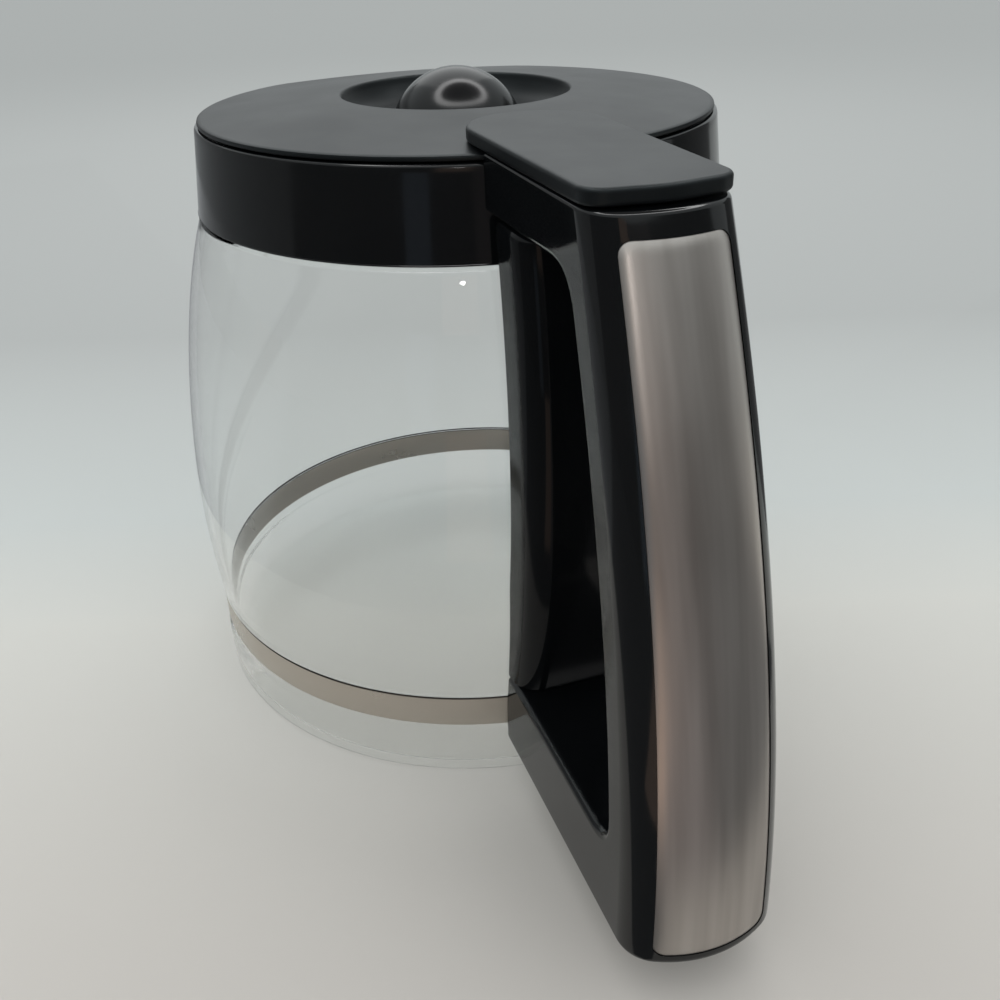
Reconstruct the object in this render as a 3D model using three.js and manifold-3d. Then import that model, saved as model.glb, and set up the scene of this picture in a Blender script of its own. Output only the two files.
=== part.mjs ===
// Glass coffee carafe: a pour collar, a closed-loop handle held by a steel clamp band, and a
// lift-off drip-through lid with a thumb plate. Millimetres, +Z up.
// The origin is the centre of the glass foot. The handle points along +X and the spout along -X.
import * as THREE from 'three';
import { mergeVertices } from 'three/addons/utils/BufferGeometryUtils.js';
import loadManifold from 'manifold-3d';

const wasm = await loadManifold();
wasm.setup();

// Fits
const fitGap = 0.3;
const slideGap = 0.5;
const handleGap = 0.4;
const cutPast = 1;
const quarterTurn = Math.PI / 2;

// Facets
const roundSteps = 48;
const domeSteps = 32;
const smallSteps = 16;
const screwSteps = 12;
const curveSteps = 5;
const cornerSteps = 3;
const crownSteps = 6;
const halvings = 40;

// Glass vessel
const glassWall = 2.5;
const glassFloor = 3;
const heelRadius = 2;
const grooveRadius = 75.9;
const grooveDepth = 1.1;
const grooveSlope = 2.4;
const bellySwell = 2.6;
const bellyHeight = 50;
const shoulderProud = 4.4;
const shoulderHeight = 128.9;
const neckRadius = 62.2;
const neckRise = 3.6;
const neckHeight = 12.6;
const rimRound = 0.8;

// Bends of the glass wall, as shares of the stretch that bends
const footBendOut = 0.35;
const footBendUp = 0.27;
const bellyBendBelow = 0.65;
const bellyBendAbove = 0.315;
const shoulderBendOut = 0.68;
const shoulderBendUp = 0.718;
const neckBendBelow = 0.25;
const neckBendAbove = 0.35;

// Rim gasket
const gasketHeight = 1.4;
const gasketWidth = 2.8;

// Pour collar
const collarRise = 1.3;
const collarProud = 0.1;
const collarHeight = 20.4;
const collarTopProud = 2.3;
const collarWall = 2;
const collarEdge = 1.2;
const ledgeThickness = 2;
const ledgeWidth = 4.6;
const bossHalfWidth = 11;
const bossDepth = 5;
const bossHeight = 4.2;

// Spout
const spoutReach = 9.5;
const spoutHalfWidth = 21;
const spoutDrop = 1.4;
const spoutDepth = 13.2;
const spoutWall = 1.8;
const spoutFloorRise = 0.6;
const spoutSharpness = 0.35;
const spoutFootWidth = 0.6;
const spoutKneeRise = 0.7;
const spoutKneeReach = 0.8;
const spoutKneeWidth = 0.92;

// Clamp band
const bandBottom = 15.6;
const bandHeight = 8.5;
const bandThickness = 0.5;
const earEnd = 4;
const nutRoom = 1.3;

// Handle
const armThickness = 11.1;
const armChannelDepth = 8.1;
const armChannelLength = 31;
const armChannelHalfWidth = 10;
const topHalfWidth = 14.1;
const footHalfWidth = 17;
const frontTopReach = 39.2;
const frontBendReach = 59;
const frontBendZ = 105;
const frontSagReach = 71.5;
const frontSagZ = 60;
const frontFootReach = 71.8;
const crownRadius = 27;
const cornerRadius = 8.5;
const gripDepth = 16.4;
const openingRound = 7;
const lowerArmBottom = 10.2;
const lowerArmTop = 31.4;
const handleLevels = 14;
const guardLevels = 8;

// Hollow of the lower arm and its cover
const lowerRoof = 3.5;
const lowerSideWall = 3.6;
const lowerEndWall = 6;
const hollowLength = 43;
const clampRibLength = 11;
const clampRibHalfWidth = 4.5;
const coverThickness = 2.4;
const coverInset = 0.3;
const coverScrewInset = 15.9;

// Grip liner
const linerBottomInset = 15;
const linerTopInset = 13;
const linerHalfWidth = 10;
const linerThickness = 2.6;
const linerPocketDepth = 6;
const linerPegRadius = 2.2;
const linerPegInset = 6.6;

// Knuckle guard
const guardFootReach = 6;
const guardSwellReach = 15.5;
const guardSwellZ = 58;
const guardBendReach = 14.5;
const guardBendZ = 100;
const guardTopReach = 4;
const guardDepth = 14;
const guardWall = 2.6;
const guardRound = 2.5;
const guardBossHeight = 13;
const guardScrewInset = 4.5;
const guardScrewRoom = 4;
const tenonDepth = 2.5;
const tenonLength = 4;
const tenonHalfWidth = 8;

// Grip inlay
const inlayThickness = 0.6;
const inlayPocketDepth = 0.9;
const inlayTopInset = 4.6;
const inlayBottomInset = 3.3;
const inlayTopHalfWidth = 10;
const inlayBottomHalfWidth = 12.2;
const inlayCorner = 4;

// Lid
const lidInset = 0.8;
const lidLip = 1.2;
const lidCrown = 3.1;
const lidSheet = 2;
const lidEdge = 0.4;
const lidSkirtWall = 2;
const lidSkirtDepth = 14;
const lidChordX = -53;
const recessRadius = 28.7;
const recessDepth = 6.2;
const recessSteepness = 0.35;
const drainRadius = 17.4;

// Drip cup and dome
const domeRadius = 17;
const domeWall = 2;
const domeProud = 5.4;
const domeSkirt = 1.3;
const stemRadius = 4;
const cupFlangeRadius = 40;
const cupFlange = 1.7;
const cupRadius = 26;
const cupDepth = 8;
const cupWall = 1.8;
const cupBossRadius = 6.5;
const cupScrewCircle = 34;
const cupScrewCount = 3;
const cupStandoff = 8;
const drainSlotCount = 6;
const drainSlotWidth = 4;
const drainSlotInset = 1.6;

// Thumb plate
const plateOverlap = 21.7;
const plateSetback = 2.2;
const plateHalfWidth = 14.2;
const plateInnerHalfWidth = 15;
const plateThickness = 3.2;
const plateRise = 0.9;
const plateCorner = 5;
const plateEndBow = 1.6;
const plateBevel = 0.7;
const platePostRadius = 2.6;
const platePostInset = 6;
const platePostY = 7;
const platePadRadius = 5;
const tongueLength = 18;
const tongueWall = 2;
const tongueDepth = 5;

// Screws
const shankRadius = 1.5;
const pilotRadius = shankRadius + fitGap;
const tipRadius = 0.9;
const headRadius = 2.8;
const headHeight = 2;
const headEdge = 0.7;
const flatHeadHeight = 1.2;
const crossReach = 1.5;
const crossHalfWidth = 0.4;
const crossDepth = 0.8;
const screwBite = 8;
const armScrewY = 6.5;
const nutRadius = 4;
const nutThickness = 2.8;
const nutSides = 6;

// Heights and radii that follow from the sizes above
const footRadius = grooveRadius + grooveDepth;
const bellyRadius = grooveRadius + bellySwell;
const shoulderRadius = neckRadius + shoulderProud;
const rimHeight = shoulderHeight + neckHeight;
const bandInner = grooveRadius + fitGap;
const bandOuter = bandInner + bandThickness;
const bandTop = bandBottom + bandHeight;
const bandMiddle = (bandBottom + bandTop) / 2;
const earY = clampRibHalfWidth + fitGap;
const ledgeBottom = rimHeight + gasketHeight + 2 * fitGap;
const ledgeTop = ledgeBottom + ledgeThickness;
const collarBottom = shoulderHeight + collarRise;
const collarTop = collarBottom + collarHeight;
const collarBottomRadius = shoulderRadius + collarProud;
const collarTopRadius = neckRadius + collarTopProud;
const lidRadius = collarTopRadius - lidInset;
const ledgeInner = neckRadius - ledgeWidth;
const lidLipBottom = collarTop + fitGap;
const lidRimTop = lidLipBottom + lidLip;
const lidCrownTop = lidRimTop + lidCrown;
const lidSkirtRadius = ledgeInner - slideGap;
const drainHeight = lidCrownTop - recessDepth;
const armTop = lidRimTop;
const armBottom = armTop - armThickness;
const channelFloor = armTop - armChannelDepth;
const inlayTop = armTop - inlayTopInset;
const inlayBottom = lowerArmBottom + inlayBottomInset;
const linerTop = armBottom - linerTopInset;
const linerBottom = lowerArmTop + linerBottomInset;
const plateBottom = armTop + plateRise;
const plateRoot = plateBottom + plateThickness / 2;
const domeCentre = lidCrownTop + domeProud - domeRadius;
const domeBase = domeCentre - domeSkirt;
const cupFlangeTop = lidRimTop - cupStandoff;
const cupFloorTop = cupFlangeTop - cupFlange - cupDepth;
const hollowStart = bellyRadius + handleGap + lowerEndWall;
const hollowEnd = hollowStart + hollowLength;
const hollowHalfWidth = footHalfWidth - lowerSideWall;
const coverScrewX = hollowEnd - coverScrewInset;
const guardBottom = lowerArmTop + fitGap;
const guardTop = armBottom - fitGap;
const guardFootX = bellyRadius + guardFootReach;
const guardTopX = bellyRadius + guardTopReach;
const guardScrewX = guardTopX - guardScrewInset;
const frontTopX = bellyRadius + frontTopReach;
const frontBendX = bellyRadius + frontBendReach;
const frontSagX = bellyRadius + frontSagReach;
const frontFootX = bellyRadius + frontFootReach;
const armChannelStart = guardScrewX - guardScrewRoom;
const armChannelEnd = armChannelStart + armChannelLength;
const plateInnerX = lidRadius - plateOverlap;
const plateOuterX = frontTopX - plateSetback;
const platePostX = plateInnerX + platePostInset;
const tongueEnd = armChannelEnd - slideGap;
const tongueStart = tongueEnd - tongueLength;
const tongueHalfWidth = armChannelHalfWidth - slideGap;
const screwBossRadius = 2 * pilotRadius;
const hollowTop = lowerArmTop - lowerRoof;
const earScrewX = hollowStart + nutRadius + nutRoom;
const armScrewZ = channelFloor + headRadius + fitGap;

// Finishes
const finish = (color, roughness, metalness) =>
  new THREE.MeshStandardMaterial({ color, roughness, metalness });
const clearGlass = finish('#dfe7e4', 0.04, 0);
const glossBlack = finish('#0b0c0e', 0.16, 0);
const satinBlack = finish('#1d1f21', 0.45, 0);
const brushedSteel = finish('#a29a92', 0.34, 1);
const brightSteel = finish('#b5aea5', 0.22, 1);
const screwSteel = finish('#8d8f91', 0.35, 1);
const silicone = finish('#3a3b3c', 0.7, 0);

// Shared helpers

const between = (from, to, share) => from + (to - from) * share;

const point = (x, y) => new THREE.Vector2(x, y);

// Turns a closed three.js geometry into a solid that can be joined and cut.
function solid(geometry) {
  geometry.deleteAttribute('normal');
  geometry.deleteAttribute('uv');
  const merged = mergeVertices(geometry, 1e-4);
  const corners = merged.index.array;
  const triangles = [];
  for (let i = 0; i < corners.length; i += 3) {
    const [a, b, c] = [corners[i], corners[i + 1], corners[i + 2]];
    if (a !== b && b !== c && c !== a) triangles.push(a, b, c);
  }
  const mesh = new wasm.Mesh({
    numProp: 3,
    vertProperties: new Float32Array(merged.attributes.position.array),
    triVerts: new Uint32Array(triangles),
  });
  return new wasm.Manifold(mesh);
}

// Turns a solid back into a geometry.
function geometryOf(body) {
  const mesh = body.getMesh();
  const geometry = new THREE.BufferGeometry();
  geometry.setAttribute('position', new THREE.BufferAttribute(mesh.vertProperties, 3));
  geometry.setIndex(new THREE.BufferAttribute(mesh.triVerts, 1));
  geometry.computeVertexNormals();
  return geometry;
}

const join = (first, ...rest) => rest.reduce((sum, next) => sum.add(next), first);

const cut = (first, ...rest) => rest.reduce((left, next) => left.subtract(next), first);

// Revolves a profile of radius and height round the Z axis.
function revolve(profile, steps = roundSteps) {
  const geometry = new THREE.LatheGeometry(profile, steps);
  geometry.rotateX(Math.PI / 2);
  return solid(geometry);
}

const ring = (profile, steps) => revolve([...profile, profile[0]], steps);

function box(x0, x1, y0, y1, z0, z1) {
  const geometry = new THREE.BoxGeometry(x1 - x0, y1 - y0, z1 - z0);
  geometry.translate((x0 + x1) / 2, (y0 + y1) / 2, (z0 + z1) / 2);
  return solid(geometry);
}

function post(x, y, z0, z1, radius, steps = smallSteps) {
  const geometry = new THREE.CylinderGeometry(radius, radius, z1 - z0, steps);
  geometry.rotateX(Math.PI / 2);
  geometry.translate(x, y, (z0 + z1) / 2);
  return solid(geometry);
}

function rodAlongX(x0, x1, y, z, radius) {
  const geometry = new THREE.CylinderGeometry(radius, radius, x1 - x0, smallSteps);
  geometry.rotateZ(Math.PI / 2);
  geometry.translate((x0 + x1) / 2, y, z);
  return solid(geometry);
}

function rodAlongY(x, y0, y1, z, radius) {
  const geometry = new THREE.CylinderGeometry(radius, radius, y1 - y0, smallSteps);
  geometry.translate(x, (y0 + y1) / 2, z);
  return solid(geometry);
}

// Extrudes a side-view outline of x and z across the handle.
function acrossHandle(shape, halfWidth) {
  const options = { depth: 2 * halfWidth, bevelEnabled: false, curveSegments: curveSteps };
  const geometry = new THREE.ExtrudeGeometry(shape, options);
  geometry.rotateX(Math.PI / 2);
  geometry.translate(0, halfWidth, 0);
  return solid(geometry);
}

// Skins a stack of plan outlines, listed from the lowest, that all have the same number of points.
function loft(rings) {
  const count = rings[0].length;
  const corners = [];
  for (let level = 0; level + 1 < rings.length; level += 1) {
    for (let i = 0; i < count; i += 1) {
      const next = (i + 1) % count;
      const low = level * count;
      const high = low + count;
      corners.push(low + i, low + next, high + next);
      corners.push(low + i, high + next, high + i);
    }
  }
  const flat = rings[0].map((p) => point(p.x, p.y));
  const top = (rings.length - 1) * count;
  for (const [a, b, c] of THREE.ShapeUtils.triangulateShape(flat, [])) {
    corners.push(a, c, b);
    corners.push(top + a, top + b, top + c);
  }
  const geometry = new THREE.BufferGeometry();
  geometry.setFromPoints(rings.flat());
  geometry.setIndex(corners);
  return solid(geometry);
}

// Glass vessel

// The outer wall from the heel up to the neck, grown outwards by a clearance. The band lies in a groove.
function glassWallLine(grow) {
  const grooveBottom = bandBottom - slideGap;
  const grooveTop = bandTop + slideGap;
  const grooveEnd = grooveTop + grooveSlope;
  const path = new THREE.Path();
  path.moveTo(footRadius, heelRadius);
  path.lineTo(footRadius, grooveBottom - grooveSlope);
  path.lineTo(grooveRadius, grooveBottom);
  path.lineTo(grooveRadius, grooveTop);
  path.lineTo(footRadius, grooveEnd);
  path.bezierCurveTo(
    between(footRadius, bellyRadius, footBendOut), between(grooveEnd, bellyHeight, footBendUp),
    bellyRadius, between(grooveEnd, bellyHeight, bellyBendBelow),
    bellyRadius, bellyHeight,
  );
  path.bezierCurveTo(
    bellyRadius, between(bellyHeight, shoulderHeight, bellyBendAbove),
    between(shoulderRadius, bellyRadius, shoulderBendOut),
    between(bellyHeight, shoulderHeight, shoulderBendUp),
    shoulderRadius, shoulderHeight,
  );
  path.bezierCurveTo(
    shoulderRadius, shoulderHeight + neckRise * neckBendBelow,
    neckRadius, shoulderHeight + neckRise * neckBendAbove,
    neckRadius, shoulderHeight + neckRise,
  );
  return path.getPoints(curveSteps).map((p) => point(p.x + grow, p.y));
}

function glassVessel() {
  const outer = glassWallLine(0);
  const inner = glassWallLine(-glassWall).reverse();
  inner[inner.length - 1].y = glassFloor + heelRadius;
  const innerFoot = footRadius - glassWall;
  const heel = heelRadius * (1 - Math.SQRT1_2);
  return revolve([
    point(0, 0),
    point(footRadius - heelRadius, 0),
    point(footRadius - heel, heel),
    ...outer,
    point(neckRadius, rimHeight - rimRound),
    point(neckRadius - rimRound, rimHeight),
    point(neckRadius - glassWall + rimRound, rimHeight),
    point(neckRadius - glassWall, rimHeight - rimRound),
    ...inner,
    point(innerFoot - heel, glassFloor + heel),
    point(innerFoot - heelRadius, glassFloor),
    point(0, glassFloor),
  ]);
}

// The space that the glass and the band keep clear of the handle.
function vesselRoom() {
  const wall = glassWallLine(handleGap);
  const glass = revolve([
    point(0, -heelRadius),
    point(footRadius + handleGap, -heelRadius),
    ...wall,
    point(0, shoulderHeight + neckRise),
  ]);
  const bandRoom = revolve([
    point(0, bandBottom - slideGap),
    point(bandOuter + handleGap, bandBottom - slideGap),
    point(bandOuter + handleGap, bandTop + slideGap),
    point(0, bandTop + slideGap),
  ]);
  return glass.add(bandRoom);
}

function rimGasket() {
  const outer = neckRadius - rimRound / 2;
  const inner = outer - gasketWidth;
  const bottom = rimHeight + fitGap;
  const top = bottom + gasketHeight;
  return ring([point(inner, bottom), point(outer, bottom), point(outer, top), point(inner, top)]);
}

// Pour collar

// A beak-shaped plan outline that reaches from the collar's inside to its tip on -X. The two
// middle handles of the curve are pulled out so far that the curve's middle lies on the tip.
function beakOutline(tipX, halfWidth, z) {
  const rootX = -ledgeInner;
  const pullX = (8 * tipX - 2 * rootX) / 6;
  const beak = new THREE.CubicBezierCurve(
    point(rootX, halfWidth),
    point(pullX, halfWidth * spoutSharpness),
    point(pullX, -halfWidth * spoutSharpness),
    point(rootX, -halfWidth),
  );
  return beak.getPoints(2 * curveSteps).map((p) => new THREE.Vector3(p.x, p.y, z));
}

function spoutBody() {
  const top = collarTop - spoutDrop;
  const foot = top - spoutDepth;
  const knee = between(foot, top, spoutKneeRise);
  const tipX = -(collarTopRadius + spoutReach);
  const kneeX = between(-collarBottomRadius, tipX, spoutKneeReach);
  return loft([
    beakOutline(-collarBottomRadius, spoutHalfWidth * spoutFootWidth, foot),
    beakOutline(kneeX, spoutHalfWidth * spoutKneeWidth, knee),
    beakOutline(tipX, spoutHalfWidth, top),
  ]);
}

function spoutTrough() {
  const floor = ledgeTop + spoutFloorRise;
  const tipX = -(collarTopRadius + spoutReach - spoutWall);
  const halfWidth = spoutHalfWidth - spoutWall;
  return loft([
    beakOutline(tipX + spoutWall, halfWidth - spoutWall, floor),
    beakOutline(tipX, halfWidth, collarTop - spoutDrop),
    beakOutline(tipX, halfWidth, collarTop + spoutDrop),
  ]);
}

// The collar's outer envelope grown by a clearance, up to a height, solid to the axis.
function collarEnvelope(grow, top) {
  const rimEdge = grow > 0 ? 0 : collarEdge / 2;
  return revolve([
    point(0, collarBottom - grow),
    point(collarBottomRadius - collarEdge + grow, collarBottom - grow),
    point(collarBottomRadius + grow, collarBottom + collarEdge),
    point(collarTopRadius + grow, collarTop - collarEdge / 2),
    point(collarTopRadius - rimEdge + grow, collarTop),
    point(collarTopRadius - rimEdge + grow, top),
    point(0, top),
  ]);
}

// Everything that is open inside the collar: skirt, neck bore, mouth and gutter.
function collarBore() {
  const bore = neckRadius + handleGap;
  const skirt = collarBottomRadius - collarEdge - fitGap;
  const neckTop = shoulderHeight + neckRise + handleGap;
  const gutter = collarTopRadius - collarWall;
  return revolve([
    point(0, collarBottom - collarEdge),
    point(skirt, collarBottom - collarEdge),
    point(skirt, collarBottom),
    point(bore, neckTop),
    point(bore, ledgeBottom),
    point(ledgeInner, ledgeBottom),
    point(ledgeInner, ledgeTop),
    point(gutter, ledgeTop),
    point(gutter, collarTop + collarEdge),
    point(0, collarTop + collarEdge),
  ]);
}

// A block in the gutter that takes the handle's two screws.
function handleBoss() {
  const outer = collarTopRadius - collarWall / 2;
  const inner = outer - bossDepth;
  const corner = Math.sqrt(outer ** 2 - bossHalfWidth ** 2);
  const bottom = ledgeTop - ledgeThickness / 2;
  return box(inner, corner, -bossHalfWidth, bossHalfWidth, bottom, ledgeTop + bossHeight);
}

function armScrewBores(from, to, radius) {
  const bore = (y) => rodAlongX(from, to, y, armScrewZ, radius);
  return bore(armScrewY).add(bore(-armScrewY));
}

function collar() {
  const shell = cut(join(collarEnvelope(0, collarTop), spoutBody()), collarBore(), spoutTrough());
  const bores = armScrewBores(ledgeInner, armChannelStart, pilotRadius);
  return cut(join(shell, handleBoss()), bores);
}

// Clamp band

function band() {
  const hoop = ring([
    point(bandInner, bandBottom),
    point(bandOuter, bandBottom),
    point(bandOuter, bandTop),
    point(bandInner, bandTop),
  ]);
  const open = cut(hoop, box(0, 2 * bandOuter, -earY, earY, 0, 2 * bandTop));
  const root = Math.sqrt(bandInner ** 2 - earY ** 2) + bandThickness / 4;
  const ear = (side) => {
    const edges = [side * earY, side * (earY + bandThickness)].sort((a, b) => a - b);
    return box(root, earScrewX + earEnd, edges[0], edges[1], bandBottom, bandTop);
  };
  const hole = rodAlongY(earScrewX, -2 * earY, 2 * earY, bandMiddle, pilotRadius);
  return cut(join(open, ear(1), ear(-1)), hole);
}

// Handle frame

const frontLine = new THREE.CubicBezierCurve(
  point(frontFootX, lowerArmBottom),
  point(frontSagX, frontSagZ),
  point(frontBendX, frontBendZ),
  point(frontTopX, armTop),
);

// The front of the knuckle guard in side view, from the lower arm up.
const guardLine = new THREE.CubicBezierCurve(
  point(guardFootX, guardBottom),
  point(bellyRadius + guardSwellReach, guardSwellZ),
  point(bellyRadius + guardBendReach, guardBendZ),
  point(guardTopX, guardTop),
);

// How far out a rising line is at a height.
function reachAt(line, z) {
  let low = 0;
  let high = 1;
  for (let step = 0; step < halvings; step += 1) {
    const middle = (low + high) / 2;
    if (line.getPoint(middle).y < z) low = middle;
    else high = middle;
  }
  return line.getPoint(low).x;
}

const frontX = (z) => reachAt(frontLine, z);

const gripInnerX = (z) => frontX(z) - gripDepth;

const halfWidthAt = (z) =>
  between(footHalfWidth, topHalfWidth, (z - lowerArmBottom) / (armTop - lowerArmBottom));

function levels(from, to, count) {
  return Array.from({ length: count + 1 }, (_, i) => between(from, to, i / count));
}

function arcPoints(x, y, radius, from, to, steps, z) {
  return levels(from, to, steps).map((angle) =>
    new THREE.Vector3(x + radius * Math.cos(angle), y + radius * Math.sin(angle), z));
}

// The handle's round corners and crowned front at a height, and at a depth below their face.
function frontArcs(z, depth) {
  const crownX = frontX(z) - crownRadius;
  const cornerY = halfWidthAt(z) - cornerRadius;
  const reach = Math.sqrt((crownRadius - cornerRadius) ** 2 - cornerY ** 2);
  const cornerX = crownX + reach;
  const turn = Math.atan2(cornerY, reach);
  return [
    ...arcPoints(cornerX, -cornerY, cornerRadius - depth, -quarterTurn, -turn, cornerSteps, z),
    ...arcPoints(crownX, 0, crownRadius - depth, -turn, turn, crownSteps, z).slice(1, -1),
    ...arcPoints(cornerX, cornerY, cornerRadius - depth, turn, quarterTurn, cornerSteps, z),
  ];
}

// The plan outline of the whole handle at a height: flat sides, round corners, crowned front.
function handleOutline(z, backX) {
  const half = halfWidthAt(z);
  return [
    new THREE.Vector3(backX, -half, z),
    ...frontArcs(z, 0),
    new THREE.Vector3(backX, half, z),
  ];
}

// The finger opening in side view, from a back plane to the inside of the grip.
function openingOutline(backX, bottom, top) {
  const low = bottom + openingRound;
  const high = top - openingRound;
  const shape = new THREE.Shape();
  shape.moveTo(backX, bottom);
  shape.lineTo(gripInnerX(bottom) - openingRound, bottom);
  shape.quadraticCurveTo(gripInnerX(bottom), bottom, gripInnerX(low), low);
  for (const z of levels(low, high, handleLevels).slice(1)) shape.lineTo(gripInnerX(z), z);
  shape.quadraticCurveTo(gripInnerX(top), top, gripInnerX(top) - openingRound, top);
  shape.lineTo(backX, top);
  return shape;
}

// A strip that follows the inside of the grip between two depths and two heights.
function gripStrip(near, far, bottom, top) {
  const shape = new THREE.Shape();
  const heights = levels(bottom, top, handleLevels / 2);
  shape.moveTo(gripInnerX(bottom) + near, bottom);
  for (const z of heights) shape.lineTo(gripInnerX(z) + far, z);
  for (const z of heights.reverse()) shape.lineTo(gripInnerX(z) + near, z);
  return shape;
}

// A layer of the grip's front between two depths, cut to a round-cornered outline.
function frontLayer(outerDepth, innerDepth, grow) {
  const bottom = inlayBottom - grow;
  const top = inlayTop + grow;
  const section = (z) => [...frontArcs(z, outerDepth), ...frontArcs(z, innerDepth).reverse()];
  const layer = loft(levels(bottom - cutPast, top + cutPast, handleLevels).map(section));
  return layer.intersect(inlayOutline(grow));
}

// The inlay's face outline of y and z, wider at the foot, extruded along X.
function inlayOutline(grow) {
  const bottom = inlayBottom - grow;
  const top = inlayTop + grow;
  const wide = inlayBottomHalfWidth + grow;
  const slim = inlayTopHalfWidth + grow;
  const shape = new THREE.Shape();
  shape.moveTo(-wide + inlayCorner, bottom);
  shape.lineTo(wide - inlayCorner, bottom);
  shape.quadraticCurveTo(wide, bottom, wide, bottom + inlayCorner);
  shape.lineTo(slim, top - inlayCorner);
  shape.quadraticCurveTo(slim, top, slim - inlayCorner, top);
  shape.lineTo(-slim + inlayCorner, top);
  shape.quadraticCurveTo(-slim, top, -slim, top - inlayCorner);
  shape.lineTo(-wide, bottom + inlayCorner);
  shape.quadraticCurveTo(-wide, bottom, -wide + inlayCorner, bottom);
  const options = { depth: 2 * frontFootX, bevelEnabled: false, curveSegments: curveSteps };
  const geometry = new THREE.ExtrudeGeometry(shape, options);
  const turn = new THREE.Matrix4().makeBasis(
    new THREE.Vector3(0, 1, 0), new THREE.Vector3(0, 0, 1), new THREE.Vector3(1, 0, 0),
  );
  geometry.applyMatrix4(turn);
  return solid(geometry);
}

// The hollow of the lower arm, with the clamp rib and the cover's boss left standing.
function lowerHollow() {
  const room = box(
    hollowStart, hollowEnd, -hollowHalfWidth, hollowHalfWidth, lowerArmBottom - cutPast, hollowTop);
  const standBottom = lowerArmBottom + coverInset + coverThickness + fitGap;
  const rib = box(
    hollowStart - cutPast, hollowStart + clampRibLength, -clampRibHalfWidth, clampRibHalfWidth,
    standBottom, hollowTop + cutPast);
  const boss = post(coverScrewX, 0, standBottom, hollowTop + cutPast, screwBossRadius);
  return cut(room, rib, boss);
}

function earSlot() {
  const far = earY + bandThickness + slideGap;
  const bottom = bandBottom - slideGap;
  const top = bandTop + slideGap;
  const side = (sign) => {
    const edges = [sign * (earY - fitGap), sign * far].sort((a, b) => a - b);
    return box(bandInner - cutPast, hollowStart + cutPast, edges[0], edges[1], bottom, top);
  };
  return side(1).add(side(-1));
}

function armChannel() {
  return box(
    armChannelStart, armChannelEnd, -armChannelHalfWidth, armChannelHalfWidth,
    channelFloor, armTop + cutPast);
}

function tenonRoom(grow) {
  const end = guardFootX - fitGap;
  return box(
    end - tenonLength - grow, end + grow,
    -tenonHalfWidth - grow, tenonHalfWidth + grow,
    lowerArmTop - tenonDepth - grow, lowerArmTop + cutPast);
}

function linerPegs(radius, depth) {
  const peg = (z) => rodAlongX(
    gripInnerX(z) + linerThickness / 2, gripInnerX(z) + depth, 0, z, radius);
  return peg(linerBottom + linerPegInset).add(peg(linerTop - linerPegInset));
}

function handleFrame() {
  const outlines = levels(lowerArmBottom, armTop, handleLevels);
  const body = loft(outlines.map((z) => handleOutline(z, ledgeInner)));
  const pegDepth = linerPocketDepth + linerPegRadius;
  return cut(
    body,
    acrossHandle(openingOutline(0, lowerArmTop, armBottom), 2 * footHalfWidth),
    vesselRoom(),
    collarEnvelope(fitGap, armTop + cutPast),
    armChannel(),
    armScrewBores(ledgeInner, armChannelStart + cutPast, pilotRadius),
    post(guardScrewX, 0, armBottom - cutPast, channelFloor + cutPast, pilotRadius),
    lowerHollow(),
    earSlot(),
    rodAlongY(earScrewX, -2 * earY, 2 * earY, bandMiddle, pilotRadius),
    post(coverScrewX, 0, lowerArmBottom, hollowTop - cutPast, pilotRadius),
    tenonRoom(fitGap),
    acrossHandle(gripStrip(-cutPast, linerPocketDepth, linerBottom, linerTop), linerHalfWidth),
    linerPegs(linerPegRadius + fitGap, pegDepth + fitGap),
    frontLayer(-cutPast, inlayPocketDepth, fitGap),
  );
}

function gripLiner() {
  const strip = gripStrip(0, linerThickness, linerBottom + fitGap, linerTop - fitGap);
  const pegDepth = linerPocketDepth + linerPegRadius;
  return join(acrossHandle(strip, linerHalfWidth - fitGap), linerPegs(linerPegRadius, pegDepth));
}

function gripInlay() {
  return frontLayer(0, inlayThickness, 0);
}

// Knuckle guard

function guardOutline(z, frontInset, sideInset, backPast) {
  const half = halfWidthAt(z) - sideInset;
  const face = reachAt(guardLine, z);
  const front = face - frontInset;
  const backX = face - guardDepth - backPast;
  const round = guardRound - Math.min(frontInset, guardRound - fitGap);
  return [
    new THREE.Vector3(backX, -half, z),
    ...arcPoints(front - round, -half + round, round, -quarterTurn, 0, cornerSteps, z),
    ...arcPoints(front - round, half - round, round, 0, quarterTurn, cornerSteps, z),
    new THREE.Vector3(backX, half, z),
  ];
}

function knuckleGuard() {
  const skin = levels(guardBottom, guardTop, guardLevels).map((z) => guardOutline(z, 0, 0, 0));
  const room = levels(guardBottom + guardWall, guardTop - guardWall, guardLevels).map((z) =>
    guardOutline(z, guardWall, guardWall, cutPast));
  const bossBottom = guardTop - guardBossHeight;
  const boss = post(guardScrewX, 0, bossBottom, guardTop, screwBossRadius);
  const pilot = post(guardScrewX, 0, bossBottom - cutPast, guardTop + cutPast, pilotRadius);
  const shell = join(cut(loft(skin), loft(room)), boss, tenonRoom(0));
  return cut(shell, pilot, vesselRoom(), collarEnvelope(fitGap, armTop));
}

function lowerCover() {
  const bottom = lowerArmBottom + coverInset;
  const plate = box(
    hollowStart + fitGap, hollowEnd - fitGap, -hollowHalfWidth + fitGap, hollowHalfWidth - fitGap,
    bottom, bottom + coverThickness);
  const below = bottom - cutPast;
  const hole = post(coverScrewX, 0, below, bottom + coverThickness + cutPast, pilotRadius);
  const sink = post(coverScrewX, 0, below, bottom + flatHeadHeight + fitGap, headRadius + fitGap);
  return cut(plate, hole, sink);
}

// Lid

// The height of the lid's coned top at a radius.
const lidTopAt = (radius) =>
  lidRimTop + lidCrown * (lidRadius - radius) / (lidRadius - recessRadius);

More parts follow.
